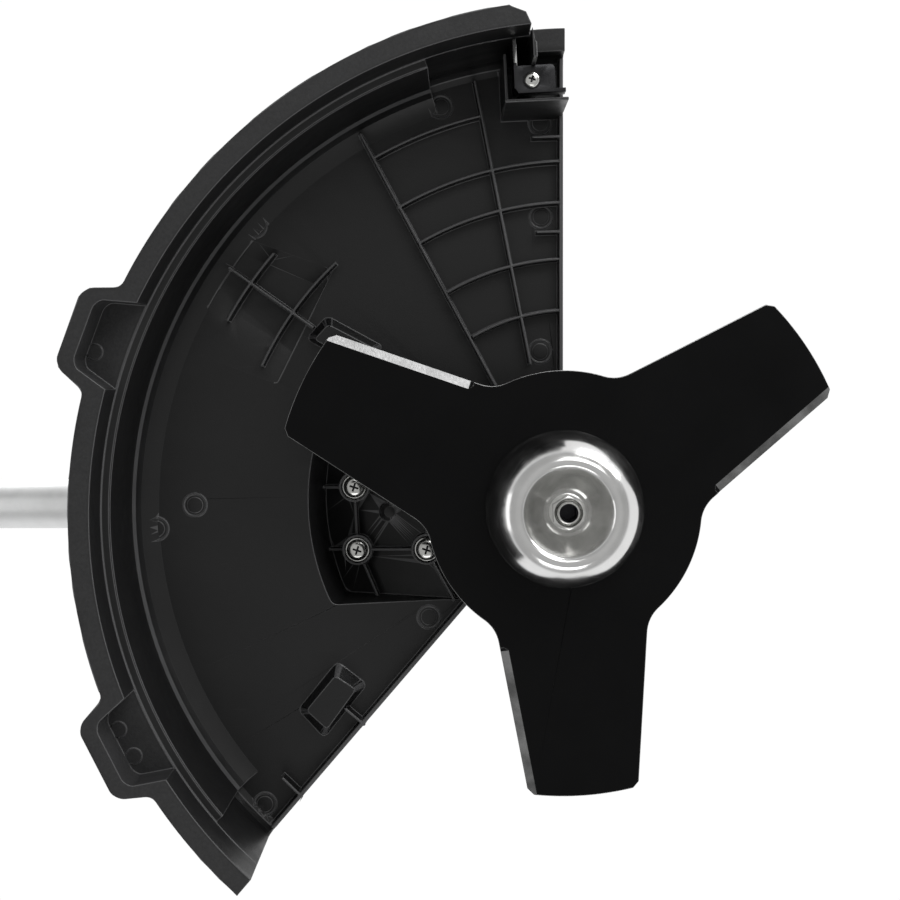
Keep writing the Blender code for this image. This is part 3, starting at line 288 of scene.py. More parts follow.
def spun_metal(name, colour, roughness, ring_size, bump):
    """Polished metal with fine rings about the arbor."""
    made, tree, shader = shader_of(name)
    at = coordinates(tree)
    ring = tree.nodes.new("ShaderNodeCombineXYZ")
    for value, socket in zip(about_axis(tree, at, (0, 0)), ring.inputs):
        tree.links.new(value, socket)
    lines = noise(tree, ring.outputs[0], ring_size, 3.0, 0.7)
    peel = noise(tree, at, 0.9, 2.0)
    clouds = noise(tree, at, 9.0, 3.0)
    darker = tuple(0.82 * value for value in colour)
    rough = spread(tree, clouds, 0.3, 0.7, roughness * 0.7, roughness * 1.35)
    surfaced(tree, shader, mixed(tree, clouds, darker, colour), rough, metallic=1.0)
    bumped(tree, shader, sums(tree, "ADD", lines, sums(tree, "MULTIPLY", peel, 0.8)), bump, 0.00005)
    return made


def cast_metal():
    """Die-cast aluminium with a fine blasted skin, a cloudy tone and paler worn edges."""
    made, tree, shader = shader_of("cast_aluminium_look")
    at = coordinates(tree)
    skin = noise(tree, at, 0.8, 3.0)
    clouds = noise(tree, at, 18.0, 4.0)
    body = mixed(tree, clouds, (0.33, 0.335, 0.34), (0.47, 0.475, 0.48))
    wear_and_highlight = edge_wear_and_highlight(tree, 0.0008)
    worn_and_highlit = mixed(tree, sums(tree, "MULTIPLY", wear_and_highlight, 0.6), body, (0.72, 0.72, 0.72))
    surfaced(tree, shader, worn_and_highlit, spread(tree, skin, 0.3, 0.7, 0.42, 0.6), metallic=0.9)
    bumped(tree, shader, skin, 0.5, 0.00018)
    return made


LOOKS = {
    "guard": guard_plastic(),
    # painted highlight: pale plastic laid on the guard's rounded edges and rib edges
    "lip": plain_plastic("painted_edge_highlight_look", (0.085, 0.085, 0.087), 0.34),
    "blade": blade_coating(),
    "ground": metal("ground_steel_look", (0.30, 0.30, 0.30), 0.30, (3.0, 0.4, 1.0), 0.8, 0.5, 0.2, 0.5),
    "chrome": spun_metal("polished_cup_look", (0.78, 0.778, 0.772), 0.18, 0.5, 0.14),
    "zinc": metal("zinc_plating_look", (0.66, 0.66, 0.64), 0.22, (1, 1, 1), 1.6, 0.12, 0.08),
    "machined": metal("machined_steel_look", (0.46, 0.455, 0.44), 0.30, (0.2, 0.2, 3.0), 0.7, 0.2, 0.1),
    "knife": metal("knife_steel_look", (0.045, 0.045, 0.047), 0.32, (1, 1, 0.3), 1.2, 0.2, 0.1),
    "edge": metal("sharpened_edge_look", (0.85, 0.85, 0.84), 0.2, (1, 1, 0.2), 0.5, 0.2, 0.08),
    "oxide": metal("black_oxide_look", (0.035, 0.035, 0.038), 0.38, (1, 1, 1), 1.2, 0.15, 0.1),
    "tube": metal("tube_aluminium_look", (0.70, 0.705, 0.705), 0.40, (0.15, 1.6, 1.6), 1.0, 0.12, 0.06, 0.93),
    "cast": cast_metal(),
    "plastic": plain_plastic("black_plastic_look", (0.012, 0.012, 0.0125), 0.38),
    "liner": plain_plastic("liner_plastic_look", (0.07, 0.07, 0.075), 0.5),
    "rubber": plain_plastic("rubber_look", (0.012, 0.012, 0.012), 0.75),
}


# ---------------------------------------------------------------- mesh helpers


def turned(profile, steps=96, start=0.0, sweep=360.0, centre=(0, 0)):
    """Spins a closed (radius, z) outline about Z; part turns get flat ends."""
    bm = bmesh.new()
    face = bm.faces.new([bm.verts.new((r, 0, z)) for r, z in profile])
    bmesh.ops.rotate(bm, matrix=Matrix.Rotation(radians(start), 3, "Z"), verts=bm.verts)
    full = sweep >= 360.0
    geometry = list(bm.edges) + ([] if full else [face])
    if full:
        bm.faces.remove(face)
    bmesh.ops.spin(
        bm, geom=geometry, axis=(0, 0, 1), angle=radians(sweep), steps=steps, use_merge=full
    )
    bmesh.ops.remove_doubles(bm, verts=bm.verts, dist=1e-5)
    bmesh.ops.dissolve_degenerate(bm, edges=bm.edges, dist=1e-6)
    bmesh.ops.delete(bm, geom=[e for e in bm.edges if not e.link_faces], context="EDGES")
    bmesh.ops.delete(bm, geom=[v for v in bm.verts if not v.link_faces], context="VERTS")
    bmesh.ops.translate(bm, vec=(centre[0], centre[1], 0), verts=bm.verts)
    return bm


def prism(outline, low, high, draft=0.0):
    """Extrudes a flat outline up Z; draft shrinks the top about the outline's middle."""
    bm = bmesh.new()
    face = bm.faces.new([bm.verts.new((x, y, low)) for x, y in outline])
    grown = bmesh.ops.extrude_face_region(bm, geom=[face])["geom"]
    top = [item for item in grown if isinstance(item, bmesh.types.BMVert)]
    bmesh.ops.translate(bm, vec=(0, 0, high - low), verts=top)
    if draft:
        middle = sum((v.co for v in top), Vector()) / len(top)
        for vert in top:
            vert.co = middle + (vert.co - middle) * (1 - draft)
            vert.co.z = high
    return bm


def box(low, high):
    (x0, y0, z0), (x1, y1, z1) = low, high
    return prism([(x0, y0), (x1, y0), (x1, y1), (x0, y1)], z0, z1)


def lofted(outlines):
    """A closed solid through outlines of (x, y, z) points, with as many points each."""
    bm = bmesh.new()
    rings = [[bm.verts.new(point) for point in outline] for outline in outlines]
    for first, second in zip(rings, rings[1:]):
        for i in range(len(first)):
            j = (i + 1) % len(first)
            bm.faces.new((first[i], first[j], second[j], second[i]))
    bm.faces.new(rings[0])
    bm.faces.new(list(reversed(rings[-1])))
    return bm


def frustum(lower, low, upper, high):
    """A solid between two flat outlines, each at its own height."""
    return lofted([[(x, y, z) for x, y in ring] for ring, z in ((lower, low), (upper, high))])


def rod(radius, low, high, steps=48, at=(0, 0), axis="Z", top_radius=None):
    """A cylinder or cone along one axis; at gives its place in the other two."""
    bm = bmesh.new()
    end = radius if top_radius is None else top_radius
    bmesh.ops.create_cone(
        bm, cap_ends=True, segments=steps, radius1=radius, radius2=end, depth=high - low
    )
    middle = (low + high) / 2
    shift = {"X": (middle, *at), "Y": (at[0], middle, at[1]), "Z": (*at, middle)}[axis]
    if axis != "Z":
        turn = Matrix.Rotation(pi / 2, 3, "Y" if axis == "X" else "X")
        bmesh.ops.rotate(bm, matrix=turn, verts=bm.verts)
    bmesh.ops.translate(bm, vec=shift, verts=bm.verts)
    return bm


def arc(radius, start, end, steps, centre=(0, 0)):
    turns = [start + (end - start) * i / steps for i in range(steps + 1)]
    return [(centre[0] + radius * cos(t), centre[1] + radius * sin(t)) for t in turns]


def polar(radius, angle, centre=(GUARD_X, GUARD_Y)):
    turn = radians(angle)
    return (centre[0] + radius * cos(turn), centre[1] + radius * sin(turn))


def about_arbor(radius, angle):
    return polar(radius, angle, (0, 0))


def eased(before, corner, after, reach, steps=6):
    """A curve that replaces a corner, starting and ending reach away from it."""

    def along(other):
        dx, dy = other[0] - corner[0], other[1] - corner[1]
        scale = reach / hypot(dx, dy)
        return (corner[0] + dx * scale, corner[1] + dy * scale)

    first, last = along(before), along(after)
    curve = []
    for i in range(steps + 1):
        t = i / steps
        shares = ((1 - t) ** 2, 2 * t * (1 - t), t * t)
        points = (first, corner, last)
        curve.append(tuple(sum(s * p[k] for s, p in zip(shares, points)) for k in (0, 1)))
    return curve


def rounded(outline, reach, steps=5):
    """Rounds every corner of a closed outline, less where its sides are short."""
    count = len(outline)
    points = []
    for i, corner in enumerate(outline):
        before, after = outline[i - 1], outline[(i + 1) % count]
        sides = (hypot(other[0] - corner[0], other[1] - corner[1]) for other in (before, after))
        points += eased(before, corner, after, min(reach, 0.45 * min(sides)), steps)
    return points


def smoothed(points, per_span=5):
    """A Catmull-Rom curve through open profile points."""
    padded = [points[0]] + list(points) + [points[-1]]
    curve = []
    for a, b, c, d in zip(padded, padded[1:], padded[2:], padded[3:]):
        for i in range(per_span):
            t = i / per_span
            curve.append(
                tuple(
                    0.5 * (2 * b[k] + (c[k] - a[k]) * t
                           + (2 * a[k] - 5 * b[k] + 4 * c[k] - d[k]) * t * t
                           + (3 * b[k] - a[k] - 3 * c[k] + d[k]) * t ** 3)
                    for k in (0, 1)
                )
            )
    return curve + [points[-1]]


def hexagon(across_flats, turn=0.0):
    return arc(across_flats / 2 / cos(pi / 6), turn, turn + 5 * pi / 3, 5)


def bar(start, end, low, high, thickness=RIB_T, draft=0.35):
    """A straight rib on edge between two points."""
    dx, dy = end[0] - start[0], end[1] - start[1]
    length = hypot(dx, dy)
    normal = (-dy / length, dx / length)
    return swept_rib([start, end], [normal, normal], low, high, thickness, draft)


def swept_rib(path, normals, low, high, thickness=RIB_T, draft=0.35):
    """A rib along a flat path; its section narrows down to an edge with small chamfers."""
    half, lip = thickness / 2, thickness / 2 * (1 - draft)
    section = [(half, high), (lip, low + 0.35), (lip - 0.12, low + 0.08), (lip - 0.35, low)]
    section += [(-across, z) for across, z in reversed(section)]
    steps = zip(path, normals)
    return lofted([[(x + nx * a, y + ny * a, z) for a, z in section] for (x, y), (nx, ny) in steps])


def curved_bar(radius, start, end, low, high, centre=(GUARD_X, GUARD_Y)):
    """A rib that follows a circle, between two angles in degrees."""
    steps = max(6, round(abs(end - start) * 1.2))
    turns = [radians(start + (end - start) * i / steps) for i in range(steps + 1)]
    path = [(centre[0] + radius * cos(t), centre[1] + radius * sin(t)) for t in turns]
    return swept_rib(path, [(cos(t), sin(t)) for t in turns], low, high)


def solid(bm, name, looks=("plastic",)):
    """A scene object from a bmesh that is still in millimetres."""
    bmesh.ops.recalc_face_normals(bm, faces=bm.faces)
    mesh = bpy.data.meshes.new(name)
    bm.to_mesh(mesh)
    bm.free()
    obj = bpy.data.objects.new(name, mesh)
    bpy.context.scene.collection.objects.link(obj)
    for look in looks:
        mesh.materials.append(LOOKS[look])
    return obj


def take_modifiers(obj):
    """Writes the modifiers' result into the object's mesh."""
    graph = bpy.context.evaluated_depsgraph_get()
    made = bpy.data.meshes.new_from_object(obj.evaluated_get(graph), depsgraph=graph)
    old = obj.data
    obj.modifiers.clear()
    obj.data = made
    bpy.data.meshes.remove(old)


def combine(obj, operation, pieces):
    """One Boolean for each piece in turn, which keeps the mesh closed."""
    for piece in pieces:
        helper = solid(piece, "helper", ())
        for look in obj.data.materials:
            helper.data.materials.append(look)
        modifier = obj.modifiers.new("combine", "BOOLEAN")
        modifier.operation = operation
        modifier.object = helper
        modifier.solver = "MANIFOLD"
        take_modifiers(obj)
        bpy.data.objects.remove(helper, do_unlink=True)
    return obj


def cut(obj, *pieces):
    return combine(obj, "DIFFERENCE", pieces)


def add(obj, *pieces):
    return combine(obj, "UNION", pieces)


def keep(obj, piece):
    return combine(obj, "INTERSECT", [piece])


def soften(obj, width, segments=2, angle=32, clamp=True):
    """Rounds the edges that are sharper than an angle; big flat faces are split first."""
    bm = bmesh.new()
    bm.from_mesh(obj.data)
    bmesh.ops.triangulate(bm, faces=[face for face in bm.faces if len(face.verts) > 4])
    bm.to_mesh(obj.data)
    bm.free()
    modifier = obj.modifiers.new("soften", "BEVEL")
    modifier.width = width
    modifier.segments = segments
    modifier.limit_method = "ANGLE"
    modifier.angle_limit = radians(angle)
    modifier.use_clamp_overlap = clamp
    take_modifiers(obj)
    return obj


def paint(obj, chosen):
    """Gives the second look to the faces that a test picks."""
    for face in obj.data.polygons:
        if chosen(face):
            face.material_index = 1


def is_rounding(mesh, face, widest=0.4):
    """True for the narrow strips along rounded edges that look down or outwards."""
    corners = [mesh.vertices[i].co for i in face.vertices]
    longest = max((a - b).length for a, b in zip(corners, corners[1:] + corners[:1]))
    return -0.97 < face.normal.z < -0.2 and face.area < widest * longest


def place(obj, node_name, body, along_tube=False, sharp=35):
    """Takes a finished piece to its place in metres, and lets it stand for its CAD node."""
    move = TO_WORLD @ TUBE_TO_HEAD if along_tube else TO_WORLD
    obj.data.transform(move)
    obj.data.shade_smooth()
    obj.data.set_sharp_from_angle(angle=radians(sharp))
    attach(obj, body)
    if node_name:
        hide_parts(node_name)
    return obj


def tilted(bm):
    """Takes a bmesh from the tube frame to the head frame."""
    bm.transform(TUBE_TO_HEAD)
    return bm


# ---------------------------------------------------------------- blade and its clamp


def flank_hits(radius, side):
    """Where one flank of a tooth that points along X crosses a circle."""
    lean = FLANK_TURN * side
    reach = sqrt(radius**2 - FLANK_OFFSET**2)
    x = sin(lean) * FLANK_OFFSET * side + cos(lean) * reach
    y = cos(lean) * FLANK_OFFSET * side - sin(lean) * reach
    return (x, y)


def turn_point(point, angle):
    x, y = point
    return (x * cos(angle) - y * sin(angle), x * sin(angle) + y * cos(angle))


def blade_outline():
    outline = []
    chamfer, fillet_reach = 2.4, 7.0
    root = flank_hits(HUB_R, 1)
    root_angle = atan2(root[1], root[0])
    fillet = fillet_reach / HUB_R
    for tooth in range(TEETH):
        sides = []
        for side in (-1, 1):
            foot, tip = flank_hits(HUB_R, side), flank_hits(BLADE_R, side)
            turn = side * (root_angle + fillet)
            arc_side = (HUB_R * cos(turn), HUB_R * sin(turn))
            length = hypot(tip[0] - foot[0], tip[1] - foot[1])
            share = (length - chamfer) / length
            corner = tuple(foot[k] + (tip[k] - foot[k]) * share for k in (0, 1))
            tip_angle = side * (abs(atan2(tip[1], tip[0])) - chamfer / BLADE_R)
            sides.append((eased(arc_side, foot, tip, fillet_reach, 10) + [corner], tip_angle))
        (low_side, low_angle), (high_side, high_angle) = sides
        points = low_side + arc(BLADE_R - 0.05, low_angle, high_angle, 40)
        points += list(reversed(high_side))
        points += arc(HUB_R, root_angle + fillet, 2 * pi / TEETH - root_angle - fillet, 30)[1:-1]
        outline += [turn_point(point, FIRST_TOOTH + tooth * 2 * pi / TEETH) for point in points]
    return outline


def bevel_wedges():
    """Cutters that grind the leading flank of each tooth from below, with a nick at its root."""
    half = BLADE_T / 2
    foot, tip = flank_hits(HUB_R, 1), flank_hits(BLADE_R, 1)
    length = hypot(tip[0] - foot[0], tip[1] - foot[1])
    ux, uy = (tip[0] - foot[0]) / length, (tip[1] - foot[1]) / length
    edge_z, clear_z = half * 0.55, -half - 3.0
    section = ((-BEVEL_W, -half), (0, edge_z), (6, edge_z), (6, clear_z), (-BEVEL_W, clear_z))
    wedges = []
    for tooth in range(TEETH):
        rings = []
        for reach, slide in ((9.4, 1.6), (11.0, 0.0), (length + 6.0, 0.0)):
            x, y = foot[0] + ux * reach, foot[1] + uy * reach
            rings.append([(x - uy * (s + slide), y + ux * (s + slide), z) for s, z in section])
        bm = lofted(rings)
        turn = FIRST_TOOTH + tooth * 2 * pi / TEETH
        bmesh.ops.rotate(bm, matrix=Matrix.Rotation(turn, 3, "Z"), verts=bm.verts)
        wedges.append(bm)
    return wedges


def blade():
    half = BLADE_T / 2
    obj = solid(prism(blade_outline(), -half, half), "blade_fine", ("blade", "ground"))
    cut(obj, rod(BLADE_BORE_R, -5, 5, 96))
    soften(obj, 0.22, 2, 40)
    cut(obj, *bevel_wedges())

    def is_bare(face):
        # ground faces lean from straight down by more than an edge's rounding does
        is_ground = 0.75 < -face.normal.z < 0.985 and face.area > 20.0
        return is_ground or is_rounding(obj.data, face, 0.2)

    paint(obj, is_bare)
    place(obj, "blade", "rotor", sharp=16)


def support_cup():
    """Pressed cup: a dome, a rounded lip, a shallow dish round the nut, and its open back."""
    outer = [(33.6, -1.5), (34.3, -2.2), (34.35, -5.0), (34.1, -9.0), (33.0, -17.0), (30.1, -25.0)]
    outer += [(26.4, -30.0), (23.4, -32.3), (21.3, -32.8), (19.6, -32.2), (17.6, -29.8), (15.4, -26.4)]
    outer += [(13.0, -23.2), (10.6, -21.0), (8.0, -20.0)]
    outer = smoothed(outer, 6) + [(5.6, -19.8)]
    inner = [(5.6, -18.6), (10.4, -19.4), (13.4, -21.2), (16.4, -24.8), (18.9, -28.6), (20.6, -30.6)]
    inner += [(22.4, -30.6), (25.2, -28.4), (28.8, -24.0), (31.5, -16.4), (32.6, -9), (32.8, -1.5)]
    obj = solid(turned(outer + inner, 128), "support_cup_fine", ("chrome",))
    place(obj, "support_cup", "rotor", sharp=50)


def blade_nut():
    """Flanged hexagon nut with turned chamfers."""
    low, high = NUT_Z
    nut = solid(prism(hexagon(12.9, pi / 6), low, high - 1.0), "blade_nut_fine", ("zinc",))
    crown = [(0, low - 1), (6.5, low - 1), (6.5, low), (7.6, low + 0.75)]
    crown += [(7.6, high + 2), (0, high + 2)]
    keep(nut, turned(crown, 72))
    flange = [(0, high), (8.5, high), (8.95, high - 0.4), (8.9, high - 0.9), (7.9, high - 1.9)]
    flange += [(0, high - 2.6)]
    add(nut, turned(flange, 96))
    cut(nut, rod(5.3, low - 3, high + 3, 48))
    cut(nut, turned([(0, low - 0.2), (6.3, low - 0.2), (5.1, low + 0.9), (0, low + 0.9)], 48))
    soften(nut, 0.14, 2, 40)
    place(nut, "blade_nut", "rotor", sharp=40)


def arbor_end():
    """The threaded end of the arbor with its dark socket; the rest of it is hidden in the head."""
    low = ARBOR_END_Z
    body = [(0, low), (4.3, low), (4.75, low + 0.5)]
    pitch = 1.25
    at = low + 0.8
    while at < low + 12:
        body += [(4.95, at), (4.55, at + pitch / 2)]
        at += pitch
    body += [(5.0, -17.9), (5.0, -0.8), (8.4, 0.2), (8.4, 38.0), (9.5, 38.0), (9.5, 40.0), (7.6, 41.0)]
    body += [(7.0, 74.0), (7.0, 84.0), (5.9, 84.8), (5.9, 94.4), (5.4, 95.0), (0, 95.0)]
    obj = solid(turned(body, 64), "arbor_shaft_fine", ("zinc", "oxide"))
    cut(obj, rod(3.9, low - 2, low + 12.5, 6))
    cut(obj, turned([(0, low - 0.5), (4.3, low - 0.5), (3.6, low + 0.8), (0, low + 0.8)], 48))
    paint(obj, lambda face: hypot(*face.center[:2]) < 3.95 and face.center.z < low + 13)
    place(obj, "arbor_shaft", "rotor", sharp=30)


def clamp_discs():
    low, high = 1.3, 10.0
    profile = [(8.8, high + 3), (13.4, high + 3), (14, high + 2.6), (16, high), (28.6, high - 2.4)]
    profile += [(29.4, high - 3.2), (29.45, low + 0.8), (28.9, low), (12.35, low), (12.35, -0.9)]
    profile += [(8.8, -0.9)]
    holder = solid(turned(profile, 96), "blade_holder_fine", ("machined",))
    for quarter in range(4):
        turn = quarter * pi / 2
        cut(holder, rod(2.6, 5.0, 9.6, 24, (22.5 * cos(turn), 22.5 * sin(turn))))
    soften(holder, 0.2, 2, 30)
    place(holder, "blade_holder", "rotor")
    top = -BLADE_T / 2 - GAP
    profile = [(5.3, top), (24.6, top), (25, top - 0.5), (25, top - 4), (24, top - 5), (15, top - 7.5)]
    profile += [(13, top - 10), (13, -17.6), (12.4, -18.2), (5.3, -18.2)]
    flange = solid(turned(profile, 96), "blade_clamp_flange_fine", ("machined",))
    place(flange, "blade_clamp_flange", "rotor")


# ---------------------------------------------------------------- guard


def edge_x(y):
    """X of the guard's straight edge on its blade side."""
    return EDGE_X - EDGE_SLOPE * y


def pocket_floor(x):
    """Height of the mount pocket's floor, which rises away from the arbor."""
    return FLOOR_Z + (FLOOR_X - x) * FLOOR_SLOPE


def sector(profile, start, end, density=1.0):
    steps = max(6, round((end - start) * density))
    return turned(profile, steps, start, end - start, (GUARD_X, GUARD_Y))


def guard_outline(rim, lug_r, lug_half, corner=3.2):
    """Sector outline with the two lugs, whose corners are rounded."""
    outline = []
    at = START
    for middle in sorted(LUG_ANGLES):
        end = middle - lug_half[0]
        steps = max(4, round(end - at))
        first_step = 0 if at == START else 1
        outline += [polar(rim, at + (end - at) * i / steps) for i in range(first_step, steps)]
        half = [(rim, lug_half[0]), (lug_r - 2.6, lug_half[1]), (lug_r, lug_half[2])]
        corners = [polar(radius, middle - turn) for radius, turn in half]
        corners += [polar(radius, middle + turn) for radius, turn in reversed(half)]
        before, after = polar(rim, end - 2), polar(rim, middle + lug_half[0] + 2)
        chain = [before] + corners + [after]
        for first, point, last in zip(chain, chain[1:], chain[2:]):
            reach = 0.42 * min(hypot(point[0] - q[0], point[1] - q[1]) for q in (first, last))
            outline += eased(first, point, last, min(corner, reach), 5)
        at = middle + lug_half[0]
    steps = round(END - at)
    outline += [polar(rim, at + (END - at) * i / steps) for i in range(1, steps + 1)]
    outline += [polar(20.0, END), polar(20.0, START)]
    return outline


def lug_pocket(middle):
    half = [(LEDGE_R - 8, 5.7), (LEDGE_R + 1, 5.7), (225.4, 3.9), (227.3, 3.0)]
    outline = [polar(radius, middle - turn) for radius, turn in half]
    outline += [polar(radius, middle + turn) for radius, turn in reversed(half)]
    return prism(rounded(outline, 1.6, 4), RIM_Z - 5, LEDGE_Z - 1.0)


def pocket_outline(grow=0.0):
    radius, half = POCKET_R + grow, POCKET_HALF + grow
    turn = asin(half / radius)
    near = -36.0
    curve = arc(radius, pi - turn, pi + turn, 40)
    corners = [curve[-1], (near, -half), (near, half), curve[0]]
    last = eased(curve[-4], corners[0], corners[1], 3.0, 6)
    first = eased(corners[2], corners[3], curve[3], 3.0, 6)
    return first + curve[3:-3] + last + [corners[1], corners[2]]


def sloped_prism(outline, low, top_at, inset):
    """A prism whose top rises away from the arbor, and whose sides lean in."""
    top = []
    for x, y in outline:
        if x < -40:
            scale = 1 - inset / hypot(x, y)
            x, y = x * scale, y * scale
        top.append((x, y, top_at(x)))
    return lofted([[(x, y, low) for x, y in outline], top])


def sloped_web(start, end):
    """A web whose lower edge stays a fixed depth below the pocket's sloping floor."""
    bm = bar(start, end, 0.0, 7.0)
    for vert in bm.verts:
        vert.co.z += pocket_floor(vert.co.x) - 6.0
    return bm


def pads():
    """Foot and face outlines of the two hollow bosses on the roof."""
    near_foot = [(-106.4, 70.4), (-92.6, 82.4), (-114.7, 107.5), (-126.7, 93.1)]
    near_face = [(-107.3, 76.2), (-97.8, 83.2), (-112.3, 101.3), (-121.6, 91.9)]
    far_foot = [(-103.3, -91.9), (-77.0, -75.8), (-89.1, -66.0), (-113.8, -81.1)]
    far_face = [(-102.2, -87.2), (-80.7, -74.6), (-89.7, -68.6), (-109.1, -80.4)]
    pairs = ((near_foot, near_face), (far_foot, far_face))
    return [(rounded(foot, 3.4, 6), rounded(face, 2.2, 6)) for foot, face in pairs]


def shrunk(outline, share):
    middle = [sum(point[k] for point in outline) / len(outline) for k in (0, 1)]
    return [tuple(middle[k] + (point[k] - middle[k]) * share for k in (0, 1)) for point in outline]


def guard_ribs():
    low, high = RIB_Z, ROOF_Z + 1.0
    ribs = [bar(about_arbor(60.0, 244.5), about_arbor(193.0, 244.5), low, high)]
    ribs.append(bar(about_arbor(65.0, 261.5), about_arbor(198.0, 261.5), low, high))
    ribs.append(curved_bar(186.2, 243.1, 259.5, low, high))
    for radius, end in ((160.8, 270.6), (141.8, 270.4), (115.7, 269.8), (92.0, 269.0)):
        ribs.append(curved_bar(radius, 242.6, end, low, high))
    for y in (-168.5, -124.8):
        ribs.append(bar((-4.0, y - 0.3), (edge_x(y) - 1.0, y), low, high))
    ribs.append(bar(about_arbor(187.0, 218.2), about_arbor(139.0, 218.2), low, high + 4))
    for radius, start, end in ((174.6, 211.5, 223.9), (151.0, 207.4, 229.8)):
        ribs.append(curved_bar(radius, start, end, low, high + 4, (0, 0)))
    ribs.append(bar((-103.5, 92.2), (-93.6, 101.4), low, high))
    ribs.append(bar((-134.6, 123.2), (-125.8, 132.6), low, high))
    ribs.append(bar((edge_x(-50.0) - 1.3, -50.0), (edge_x(-204.0) - 1.3, -204.0), low, high, 2.4))
    side = (cos(LOW_EDGE), sin(LOW_EDGE))
    across = (-side[1] * 1.5, side[0] * 1.5)
    ends = [(side[0] * r + across[0], side[1] * r + across[1]) for r in (45.0, 203.0)]
    ribs.append(bar(ends[0], ends[1], low, high, 2.8))
    return ribs


def pocket_webs():
    (far, near), (left, right) = SCREW_X, SCREW_Y
    webs = []
    for y in SCREW_Y:
        webs.append(sloped_web((far - 5, y), (-112.0, y)))
        webs.append(sloped_web((far + 5, y), (near - 5, y)))
    for x in SCREW_X:
        webs.append(bar((x, left + 5), (x, right - 5), BOSS_Z[x][0] + 2.0, pocket_floor(x) + 1.0))
    for x, end_x in ((far, -86.0), (near, -50.0)):
        webs.append(sloped_web((x + 2, right + 5), (end_x, POCKET_HALF)))
        webs.append(sloped_web((x + 2, left - 5), (end_x, -POCKET_HALF)))
    return webs


def ejector_marks():
    """Round witness marks of the mould's pins, a little proud of the faces they stand on."""
    on_roof = [(-45.3, -185.7), (0.5, -176.1), (-1.2, -132.6), (-134.6, -134.8), (-188.0, 4.4)]
    on_roof += [(-62.4, 52.1), (-144.1, 137.0), (-4.4, -70.0), (-169.5, -5.9)]
    on_ledge = [(-202.2, -78.3), (-201.0, 88.4), (-194.8, 100.5)]
    profile = [(0, 51.75), (3.6, 51.75), (3.8, 51.9), (5.0, 51.9), (5.1, 51.6), (5.6, 51.6)]
    profile += [(5.8, 53), (0, 53)]
    marks = [turned(profile, 40, centre=place_at) for place_at in on_roof]
    return marks + [rod(3.6, LEDGE_Z - 1.3, LEDGE_Z + 1, 32, place_at) for place_at in on_ledge]


